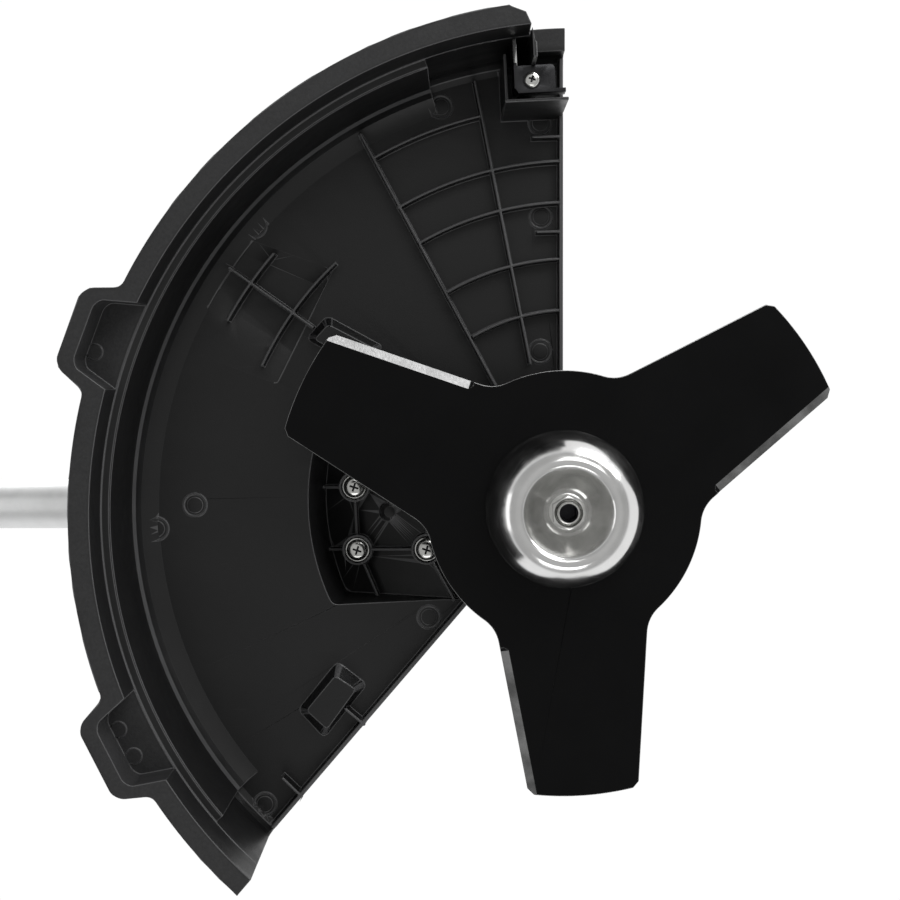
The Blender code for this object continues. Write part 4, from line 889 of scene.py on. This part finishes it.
def guard():
    """Moulded guard: a deep skirt round an arc, a ribbed roof, two lugs and the mount pocket."""
    roof_top = ROOF_Z + SHEET
    flange = prism(guard_outline(RIM_R, 234.5, (6.1, 4.6, 3.6)), RIM_Z, RIM_Z + SHEET)
    obj = solid(flange, "guard_fine", ("guard", "lip"))
    soften(obj, 0.9, 3, 50)
    wall = guard_outline(RIM_R - 6.0, 230.2, (5.9, 4.4, 3.5))
    add(obj, prism(wall, RIM_Z + 1.0, LEDGE_Z + SHEET - 1))
    high_profile = [(0, LEDGE_Z), (LEDGE_R + SHEET, LEDGE_Z), (WALL_R + SHEET, 46.0)]
    high_profile += [(WALL_R + 2.6, 49.6), (WALL_R + 1.2, 52.4), (WALL_R - 1.2, 54.4)]
    high_profile += [(WALL_R - 4, roof_top), (0, roof_top)]
    add(obj, sector(high_profile, START, END))
    end_profile = [(100, LEDGE_Z), (FLANGE_R + 2.4, LEDGE_Z), (FLANGE_R + 1.0, 46.0)]
    end_profile += [(FLANGE_R - 0.8, 52.4), (FLANGE_R - 5, roof_top), (100, roof_top)]
    add(obj, sector(end_profile, LEDGE_TO - 1.2, END), sector(end_profile, START, LEDGE_FROM + 1.2))
    add(obj, sloped_prism(pocket_outline(SHEET), 48.0, lambda x: pocket_floor(x) + SHEET, 8.0))
    ridge = ((190.0, 213.0), (190.0, 223.0), (126.0, 230.0), (126.0, 206.5))
    add(obj, prism([about_arbor(*point) for point in ridge], 50.0, roof_top + 3.0, 0.12))
    corner_top = CORNER_Z + SHEET
    corner_rim = [(196, CORNER_Z), (RIM_R, CORNER_Z), (RIM_R, corner_top), (214, corner_top)]
    corner_rim += [(212, roof_top), (196, roof_top)]
    add(obj, sector(corner_rim, 266.5, END))

    below = RIM_Z - 9
    hollow = [(0, below), (FLANGE_R, below), (FLANGE_R - 0.4, LEDGE_Z - 0.6)]
    hollow += [(FLANGE_R - 1.0, LEDGE_Z), (LEDGE_R + 0.8, LEDGE_Z), (LEDGE_R, LEDGE_Z + 0.8)]
    hollow += [(WALL_R, 43.4), (WALL_R - 1.2, 46.0), (WALL_R - 3.4, 48.6), (WALL_R - 6.6, 50.6)]
    hollow += [(WALL_R - 11.0, ROOF_Z), (0, ROOF_Z)]
    cut(obj, sector(hollow, START - 5, END + 5))
    end_hollow = [(100, below), (FLANGE_R, below), (FLANGE_R - 1.6, 45.5), (FLANGE_R - 2.6, 48.6)]
    end_hollow += [(FLANGE_R - 4.6, 51.0), (FLANGE_R - 7.5, ROOF_Z), (100, ROOF_Z)]
    cut(obj, sector(end_hollow, LEDGE_TO, END + 5), sector(end_hollow, START - 5, LEDGE_FROM))
    cut(obj, *[lug_pocket(middle) for middle in LUG_ANGLES])
    cut(obj, sloped_prism(pocket_outline(), 40.0, pocket_floor, 8.0))
    mouth = [(-161.4, -100.8), (-141.2, -130.4), (-99.5, -113.0), (-129.2, -60.2)]
    deep = [(-152.4, -107.1), (-141.3, -122.4), (-101.2, -103.2), (-113.8, -68.8)]
    cut(obj, frustum(mouth, ROOF_Z - 0.05, deep, ROOF_Z + 2.7))
    corner = [(-3.4, -240.0), (40.0, -240.0), (40.0, -192.0), (-3.4, -192.0)]
    cut(obj, prism(corner, -60.0, CORNER_Z))

    roof = ROOF_Z + 1.0
    add(obj, *guard_ribs())
    add(obj, *[frustum(face, PAD_Z, foot, roof) for foot, face in pads()])
    add(
        obj,
        bar((-4.6, -214.0), (-4.6, -193.4), RIM_Z + 0.5, roof, 2.6),
        rod(KNIFE_BOSS_R, KNIFE_Z + KNIFE_T + GAP, roof, 40, KNIFE_SCREW),
        bar((-16.5, -200.0), (-16.5, -179.0), 6.0, roof, 2.0),
        bar((-17.5, -178.6), (edge_x(-178.6) - 0.8, -178.6), 0.0, roof, 2.0),
    )
    posts, bores = [], []
    for x in SCREW_X:
        low, high = BOSS_Z[x]
        seat = low + SEAT_RISE
        post = [(0, low + 0.3), (6.2, low + 0.3), (6.6, low), (7.1, low), (7.4, low + 0.4)]
        post += [(7.4, high), (0, high)]
        bore = [(0, low - 30), (6.3, low - 30), (6.3, seat), (2.8, seat), (2.8, 130), (0, 130)]
        for y in SCREW_Y:
            posts.append(turned(post, 48, centre=(x, y)))
            bores.append(turned(bore, 48, centre=(x, y)))
    add(obj, *posts)
    add(obj, *pocket_webs())
    dome = [(0, 68.6), (2.6, 69.2), (4.4, 70.6), (5.2, 72.4), (5.2, 74.0), (0, 74.0)]
    add(obj, turned(dome, 40, centre=(-79.0, 3.0)))
    cut(obj, *bores)
    for foot, face in pads():
        cut(obj, frustum(shrunk(face, 0.72), PAD_Z + 3.2, shrunk(foot, 0.8), 70.0))
    add(obj, *ejector_marks())
    rim_end = [(-17.5, -228.0), (-17.2, -216.4), (-7.8, -212.4), (-5.6, -207.0), (-4.4, -200.0)]
    rim_end += [(2.0, -198.0), (2.0, -228.0)]
    rim_end = eased(*rim_end[:3], 4.0) + rim_end[2:] + rim_end[:1]
    cut(obj, prism(rim_end, -60.0, 30.0))
    cut(obj, rod(1.9, -10.0, 30.0, 24, KNIFE_SCREW))
    cut(obj, rod(CUTOUT_R, -60.0, 140.0, 96))
    reach = 320.0
    wedge = [(edge_x(0.0), 0.0), (edge_x(-300.0), -300.0), (-reach, -300.0), (-reach, 340.0)]
    wedge += [about_arbor(430.0, degrees(LOW_EDGE)), (0.0, 0.0)]
    keep(obj, prism(wedge, -80.0, 160.0))
    soften(obj, 0.35, 2, 30, clamp=False)

    # painted highlight: rib edges and downward-looking roundings get the pale look
    def is_painted_highlight_edge(face):
        on_rib = face.normal.z < -0.3 and RIB_Z - 0.2 < face.center.z < RIB_Z + 1.6
        return on_rib or is_rounding(obj.data, face)

    paint(obj, is_painted_highlight_edge)
    place(obj, "guard", "head", sharp=16)


# ---------------------------------------------------------------- knife and screws


def line_knife():
    """Folded steel knife with rounded folds and a ground cutting edge."""
    t = KNIFE_T
    tab = [(-12.6, -193.2), (4.6, -193.2), (4.6, -181.6), (-12.6, -181.6)]
    obj = solid(prism(rounded(tab, 2.2, 6), KNIFE_Z, KNIFE_Z + t), "line_knife_fine", ("knife", "edge"))
    cutting = box((-13.2, -204.8, KNIFE_Z), (-13.2 + t, -183.4, KNIFE_Z + 22.0))
    stiffening = box((-11.8, -182.9, KNIFE_Z), (9.0, -182.9 + t, KNIFE_Z + 9.0))
    add(obj, cutting, stiffening)
    cut(obj, rod(2.3, KNIFE_Z - 3, KNIFE_Z + 5, 40, KNIFE_SCREW))
    grind = [(-11.6, KNIFE_Z - 0.2), (-13.3, KNIFE_Z - 0.2), (-13.3, KNIFE_Z + 0.9)]
    cut(obj, lofted([[(x, y, z) for x, z in grind] for y in (-210.0, -194.5)]))
    soften(obj, 0.3, 2, 50)
    paint(obj, lambda face: face.center.y < -194 and face.center.x < -11.5 and face.normal.z < -0.2)
    place(obj, "line_knife", "head")


def pan_screw(name, node_name, location, length, head_r, shank_r, head_h):
    """A cross-recess screw: its domed head looks down and its shank goes up."""
    dome = [(0.01, -head_h), (head_r * 0.5, -head_h * 0.96), (head_r * 0.82, -head_h * 0.72)]
    dome = smoothed(dome + [(head_r * 0.98, -head_h * 0.3), (head_r, -0.2)])
    profile = [(0, -head_h)] + dome[1:] + [(head_r * 0.97, 0), (shank_r, 0)]
    profile += [(shank_r, length - 0.5), (shank_r - 0.5, length), (0, length)]
    obj = solid(turned(profile, 64), name, ("zinc", "oxide"))
    recess = []
    reach = head_r * 0.52
    outline = [(-reach, -0.55), (reach, -0.55), (reach, 0.55), (-reach, 0.55)]
    for turn in (0.35, 0.35 + pi / 2):
        arm = prism(outline, -head_h - 1, -head_h + 1.6, 0.45)
        bmesh.ops.rotate(arm, matrix=Matrix.Rotation(turn, 3, "Z"), verts=arm.verts)
        recess.append(arm)
    cut(obj, *recess)
    soften(obj, 0.1, 2, 45)
    recess_r, recess_z = head_r * 0.5, 0.5 - head_h
    paint(obj, lambda face: hypot(*face.center[:2]) < recess_r and recess_z < face.center.z < -0.1)
    obj.data.transform(Matrix.Translation(location))
    place(obj, node_name, "head", sharp=40)


def guard_screws():
    number = 0
    for x in SCREW_X:
        seat = BOSS_Z[x][0] + SEAT_RISE
        ring = [(2.75, seat - 1.25), (5.5, seat - 1.3), (5.85, seat - 1.1)]
        ring += [(5.9, seat - GAP), (2.75, seat - GAP)]
        for y in SCREW_Y:
            number += 1
            washer = solid(turned(ring, 64, centre=(x, y)), f"guard_washer_{number}_fine", ("zinc",))
            place(washer, f"guard_washer_{number}", "head")
            screw = f"guard_screw_{number}"
            pan_screw(f"{screw}_fine", screw, (x, y, seat - 1.6), 20.0, 5.15, 2.4, 3.4)
    location = (*KNIFE_SCREW, KNIFE_Z - GAP)
    pan_screw("knife_screw_fine", "knife_screw", location, 14.0, 3.55, 1.6, 2.4)


# ---------------------------------------------------------------- gear case and clamp


def gear_case():
    """Cast housing: an upright barrel for the arbor and a sloping neck for the tube."""
    barrel = [(23.0, 14.0), (24.0, 15.0), (24.0, 37.0), (22.6, 41.0), (21.6, 45.5), (21.6, 79.0)]
    barrel += [(20.8, 87.0), (18.8, 93.4), (15.0, 97.6), (9.0, 99.4)]
    obj = solid(turned([(0, 14.0)] + smoothed(barrel, 4) + [(0, 99.6)], 96), "gear_case_fine", ("cast",))
    add(obj, tilted(rod(18.0, 4.0, 90.0, 80)))
    ears = [(10.0, -10.0), (26.5, -10.0), (26.5, 10.0), (10.0, 10.0)]
    add(obj, tilted(prism(rounded(ears, 2.4), 45.0, 71.0)))
    add(obj, rod(8.0, 15.0, 26.0, 48, (0.0, PLUG_Z), "Y"))
    cut(obj, box((-150.0, -60.0, -20.0), (-55.6, 60.0, 200.0)))
    cut(obj, turned([(0, 10.0), (17.6, 10.0), (17.6, 84.0), (14.1, 85.6), (14.1, 95.4), (0, 95.4)], 96))
    cut(obj, tilted(rod(14.3, TUBE_START - 0.6, 120.0, 80)))
    cut(obj, tilted(box((5.0, -1.4, TUBE_START + 0.5), (60.0, 1.4, 120.0))))
    cut(obj, rod(3.7, 10.0, 40.0, 32, (0.0, PLUG_Z), "Y"))
    cut(obj, tilted(rod(BOLT_HOLE_R, 10.0, 30.0, 32, (0.0, LOCATING_AT), "Y")))
    for at in PINCH_AT:
        cut(obj, tilted(rod(BOLT_HOLE_R, -30.0, 30.0, 32, (PINCH_X, at), "Y")))
    soften(obj, 0.8, 3, 38)
    place(obj, "gear_case", "head", sharp=30)


def cap_bolts():
    return [(y, at) for at in CAP_BOLT_AT for y in (-CAP_BOLT_Y, CAP_BOLT_Y)]


def guard_bracket():
    """Cast saddle under the tube with four legs that meet the guard's posts."""
    outline = [(-104.0, -29.0), (-56.6, -29.0), (-56.6, 29.0), (-104.0, 29.0)]
    obj = solid(prism(rounded(outline, 4.0, 8), 60.0, 150.0), "guard_bracket_fine", ("cast",))
    cut(obj, tilted(box((-90.0, -60.0, -40.0), (-19.5, 60.0, 220.0))))
    cut(obj, tilted(box((-0.6, -60.0, -40.0), (90.0, 60.0, 220.0))))
    legs, holes = [], []
    for x in SCREW_X:
        top = BOSS_Z[x][1] + GAP
        for y in SCREW_Y:
            legs.append(rod(5.3, top, top + 17.0, 48, (x, y)))
            holes.append(rod(2.7, top - 5, BOSS_Z[x][0] + 23.6, 32, (x, y)))
    add(obj, *legs)
    cut(obj, tilted(rod(TUBE_R + GAP, 20.0, 200.0, 96)))
    cut(obj, *holes)
    cut(obj, *[tilted(rod(BOLT_HOLE_R, -30.0, 30.0, 32, spot, "X")) for spot in cap_bolts()])
    soften(obj, 0.7, 3, 38)
    place(obj, "guard_bracket", "head", sharp=30)


def clamp_cap():
    """The upper half of the clamp: an arch over the tube with a flange on each side."""
    inner, outer, top = TUBE_R + GAP, CAP_OUTER_R, CAP_FLANGE_T
    end = outer + 10.5
    outline = [(end, 0.2), (end, top)] + arc(outer, radians(16), radians(164), 60)
    outline += [(-end, top), (-end, 0.2)]
    outline += list(reversed(arc(inner, radians(1), radians(179), 72)))
    bm = prism(outline, CAP_FROM, CAP_TO)
    bmesh.ops.rotate(bm, matrix=Matrix.Rotation(-pi / 2, 3, "Z"), verts=bm.verts)
    bmesh.ops.scale(bm, vec=(1, -1, 1), verts=bm.verts)
    obj = solid(bm, "clamp_cap_fine", ("cast",))
    cut(obj, *[rod(BOLT_HOLE_R, -10.0, 20.0, 32, spot, "X") for spot in cap_bolts()])
    soften(obj, 0.7, 3, 38)
    place(obj, "clamp_cap", "head", along_tube=True, sharp=30)


def socket_screw(name, node_name, length, head_r, shank_r, head_h, location, turn):
    """A socket-head screw with a knurled head, in the tube frame."""
    profile = [(0, -length), (shank_r - 0.4, -length), (shank_r, -length + 0.4), (shank_r, 0)]
    profile += [(head_r, 0), (head_r, head_h - 0.5), (head_r - 0.15, head_h - 0.15)]
    profile += [(head_r - 0.5, head_h), (0, head_h)]
    obj = solid(turned(profile, 72), name, ("oxide",))
    cut(obj, prism(hexagon(head_r * 0.95), head_h * 0.45, head_h + 2))
    knurls = 24
    grooves = []
    for i in range(knurls):
        at = (head_r * 1.03 * cos(2 * pi * i / knurls), head_r * 1.03 * sin(2 * pi * i / knurls))
        grooves.append(rod(0.2, 0.5, head_h - 0.9, 6, at))
    cut(obj, *grooves)
    obj.data.transform(Matrix.Translation(location) @ turn)
    place(obj, node_name, "head", along_tube=True, sharp=40)


def outer_screws():
    sideways = Matrix.Rotation(-pi / 2, 4, "X")
    for number, at in enumerate(PINCH_AT, 1):
        bolt, location = f"neck_pinch_bolt_{number}", (PINCH_X, 10.3, at)
        socket_screw(f"{bolt}_fine", bolt, 21.5, 4.2, 2.5, 4.6, location, sideways)
    screw, location = "tube_locating_screw", (0, 18.0 + GAP, LOCATING_AT)
    socket_screw(f"{screw}_fine", screw, 3.4, 3.9, 2.5, 2.6, location, sideways)
    upwards = Matrix.Rotation(pi / 2, 4, "Y")
    for number, spot in enumerate(cap_bolts(), 1):
        bolt, location = f"clamp_bolt_{number}", (CAP_FLANGE_T + GAP, *spot)
        socket_screw(f"{bolt}_fine", bolt, 16.0, 4.1, 2.5, 4.6, location, upwards)


def grease_plug():
    plug = solid(prism(hexagon(10.0), 0.0, 5.0), "grease_plug_fine", ("zinc",))
    keep(plug, turned([(0, -1), (6, -1), (6, 4.2), (4.9, 5.0), (0, 5.0)], 64))
    stem = [(0, -7.5), (3.0, -7.5), (3.4, -7.0), (3.4, -0.5), (6.6, -0.5), (7.0, 0.0), (7.0, 1.0)]
    add(plug, turned(stem + [(0, 1.0)], 64))
    seat = Matrix.Translation((0, 26.5 + GAP, PLUG_Z))
    plug.data.transform(seat @ Matrix.Rotation(-pi / 2, 4, "X"))
    soften(plug, 0.12, 2, 40)
    place(plug, "grease_plug", "head")


def anti_wrap_ring():
    profile = [(24.4, 21.0), (24.4, 15.0), (24.0, 13.6), (17.8, 13.6), (17.8, 11.6), (31.0, 11.6)]
    profile += [(31.0, 4.3), (31.3, 4.0), (32.3, 4.0), (32.6, 4.3), (32.6, 12.4), (31.6, 13.8)]
    profile += [(26.9, 15.2), (26.5, 15.8), (26.4, 20.7), (26.1, 21.0)]
    obj = solid(turned(profile, 96), "anti_wrap_ring_fine", ("plastic",))
    place(obj, "anti_wrap_ring", "head")


# ---------------------------------------------------------------- tube


def shaft_tube():
    """Drawn aluminium tube with deburred ends and the button's hole."""
    ease = 0.35
    profile = [(TUBE_BORE_R, TUBE_START), (TUBE_R, TUBE_START), (TUBE_R, TUBE_SPAN - ease)]
    profile += [(TUBE_R - ease, TUBE_SPAN), (TUBE_BORE_R + ease, TUBE_SPAN)]
    profile += [(TUBE_BORE_R, TUBE_SPAN - ease)]
    obj = solid(turned(profile, 96), "shaft_tube_fine", ("tube",))
    cut(obj, rod(BUTTON_R + 0.35, 0.0, 30.0, 48, (0.0, BUTTON_AT), "X"))
    soften(obj, 0.15, 2, 60)
    place(obj, "shaft_tube", "head", along_tube=True, sharp=40)


def lock_button():
    cap = [(BUTTON_R, 11.6), (BUTTON_R, 15.4), (3.3, 16.2), (2.5, 16.7), (1.3, 16.95), (0, 17.0)]
    obj = solid(turned([(0, 9.4), (4.6, 9.4), (4.6, 11.4)] + cap, 64), "lock_button_fine", ("zinc",))
    obj.data.transform(Matrix.Translation((0, 0, BUTTON_AT)) @ Matrix.Rotation(pi / 2, 4, "Y"))
    place(obj, "lock_button", "lock_button_body", along_tube=True)


# ---------------------------------------------------------------- CAD nodes that stay


def dress_cad_nodes():
    """Gives the CAD nodes that stay the look of their slot."""
    by_slot = {
        "machined_steel": "machined",
        "black_steel": "oxide",
        "rubber": "rubber",
        "liner_plastic": "liner",
        "zinc_plated_steel": "zinc",
        "black_plastic": "plastic",
    }
    slots = {part["node"]: part["material_slot"] for part in frame["record"]["subparts"]}
    for name, obj in frame["nodes"].items():
        look = by_slot.get(slots[name])
        if look:
            for holder in obj.material_slots:
                holder.material = LOOKS[look]


# ---------------------------------------------------------------- camera, light and floor


def camera():
    """The view from below, nearly straight up at the blade."""
    turn = Matrix.Identity(3)
    for axis in ("Z", "Y", "X"):
        turn = turn @ Matrix.Rotation(CAMERA_LEANS[axis], 3, axis)
    right, down, ahead = turn
    data = bpy.data.cameras.new("camera")
    data.lens, data.sensor_width = CAMERA_LENS, CAMERA_SENSOR
    data.clip_start, data.clip_end = 0.05, 50.0
    obj = bpy.data.objects.new("camera", data)
    bpy.context.scene.collection.objects.link(obj)
    at = HEAD_AT + Vector(CAMERA_AT) * MM
    columns = Matrix((right, -down, -ahead)).transposed().to_4x4()
    obj.matrix_world = Matrix.Translation(at) @ columns
    bpy.context.scene.camera = obj


def area_light(name, offset, size, watts, aim=(0.0, 0.0, 0.0)):
    """A rectangular soft light, placed and aimed in metres from the blade's centre."""
    data = bpy.data.lights.new(name, "AREA")
    data.shape = "RECTANGLE"
    data.size, data.size_y = size
    data.energy = watts
    obj = bpy.data.objects.new(name, data)
    bpy.context.scene.collection.objects.link(obj)
    obj.location = HEAD_AT + Vector(offset)
    towards = HEAD_AT + Vector(aim) - obj.location
    obj.rotation_euler = towards.to_track_quat("-Z", "Y").to_euler()


def lighting():
    area_light("key_below", (0.36, -0.82, -0.92), (0.8, 0.5), 4.4)
    area_light("key_side", (1.05, -1.25, -0.16), (1.3, 0.55), 20)
    area_light("fill_below", (-0.10, 1.05, -0.75), (0.9, 0.4), 3.0)
    area_light("left_side", (-1.6, 0.0, -0.15), (1.1, 0.6), 2.0, (-0.35, 0.0, 0.2))
    area_light("top_soft", (-0.9, -0.9, 1.1), (0.8, 0.8), 8, (-0.2, 0.0, 0.1))
    world = bpy.data.worlds.new("studio")
    bpy.context.scene.world = world
    world.use_nodes = True
    tree = world.node_tree
    background = tree.nodes["Background"]
    direction = tree.nodes.new("ShaderNodeTexCoord")
    split = tree.nodes.new("ShaderNodeSeparateXYZ")
    tree.links.new(direction.outputs["Generated"], split.inputs[0])
    cap = spread(tree, split.outputs["Z"], -0.25, 0.05, 0.0, 1.0)
    tree.links.new(mixed(tree, cap, (0.30, 0.30, 0.303), (1.0, 1.0, 1.0)), background.inputs["Color"])
    background.inputs["Strength"].default_value = 1.02


def floor():
    bm = bmesh.new()
    bmesh.ops.create_grid(bm, x_segments=1, y_segments=1, size=9.0)
    mesh = bpy.data.meshes.new("floor")
    bm.to_mesh(mesh)
    bm.free()
    obj = bpy.data.objects.new("floor", mesh)
    bpy.context.scene.collection.objects.link(obj)
    obj.location = (0.4, 0.0, HEAD_AT.z - FLOOR_DROP)
    made, tree, shader = shader_of("floor_look")
    at = coordinates(tree)
    shade = mixed(tree, noise(tree, at, 60.0), (0.40, 0.40, 0.397), (0.44, 0.44, 0.436))
    tree.links.new(shade, shader.inputs["Base Color"])
    shader.inputs["Roughness"].default_value = 0.7
    mesh.materials.append(made)


camera()
lighting()
floor()
dress_cad_nodes()
blade()
support_cup()
blade_nut()
arbor_end()
clamp_discs()
guard()
line_knife()
guard_screws()
gear_case()
guard_bracket()
clamp_cap()
outer_screws()
grease_plug()
anti_wrap_ring()
shaft_tube()
lock_button()
bpy.context.scene.view_settings.view_transform = "Standard"
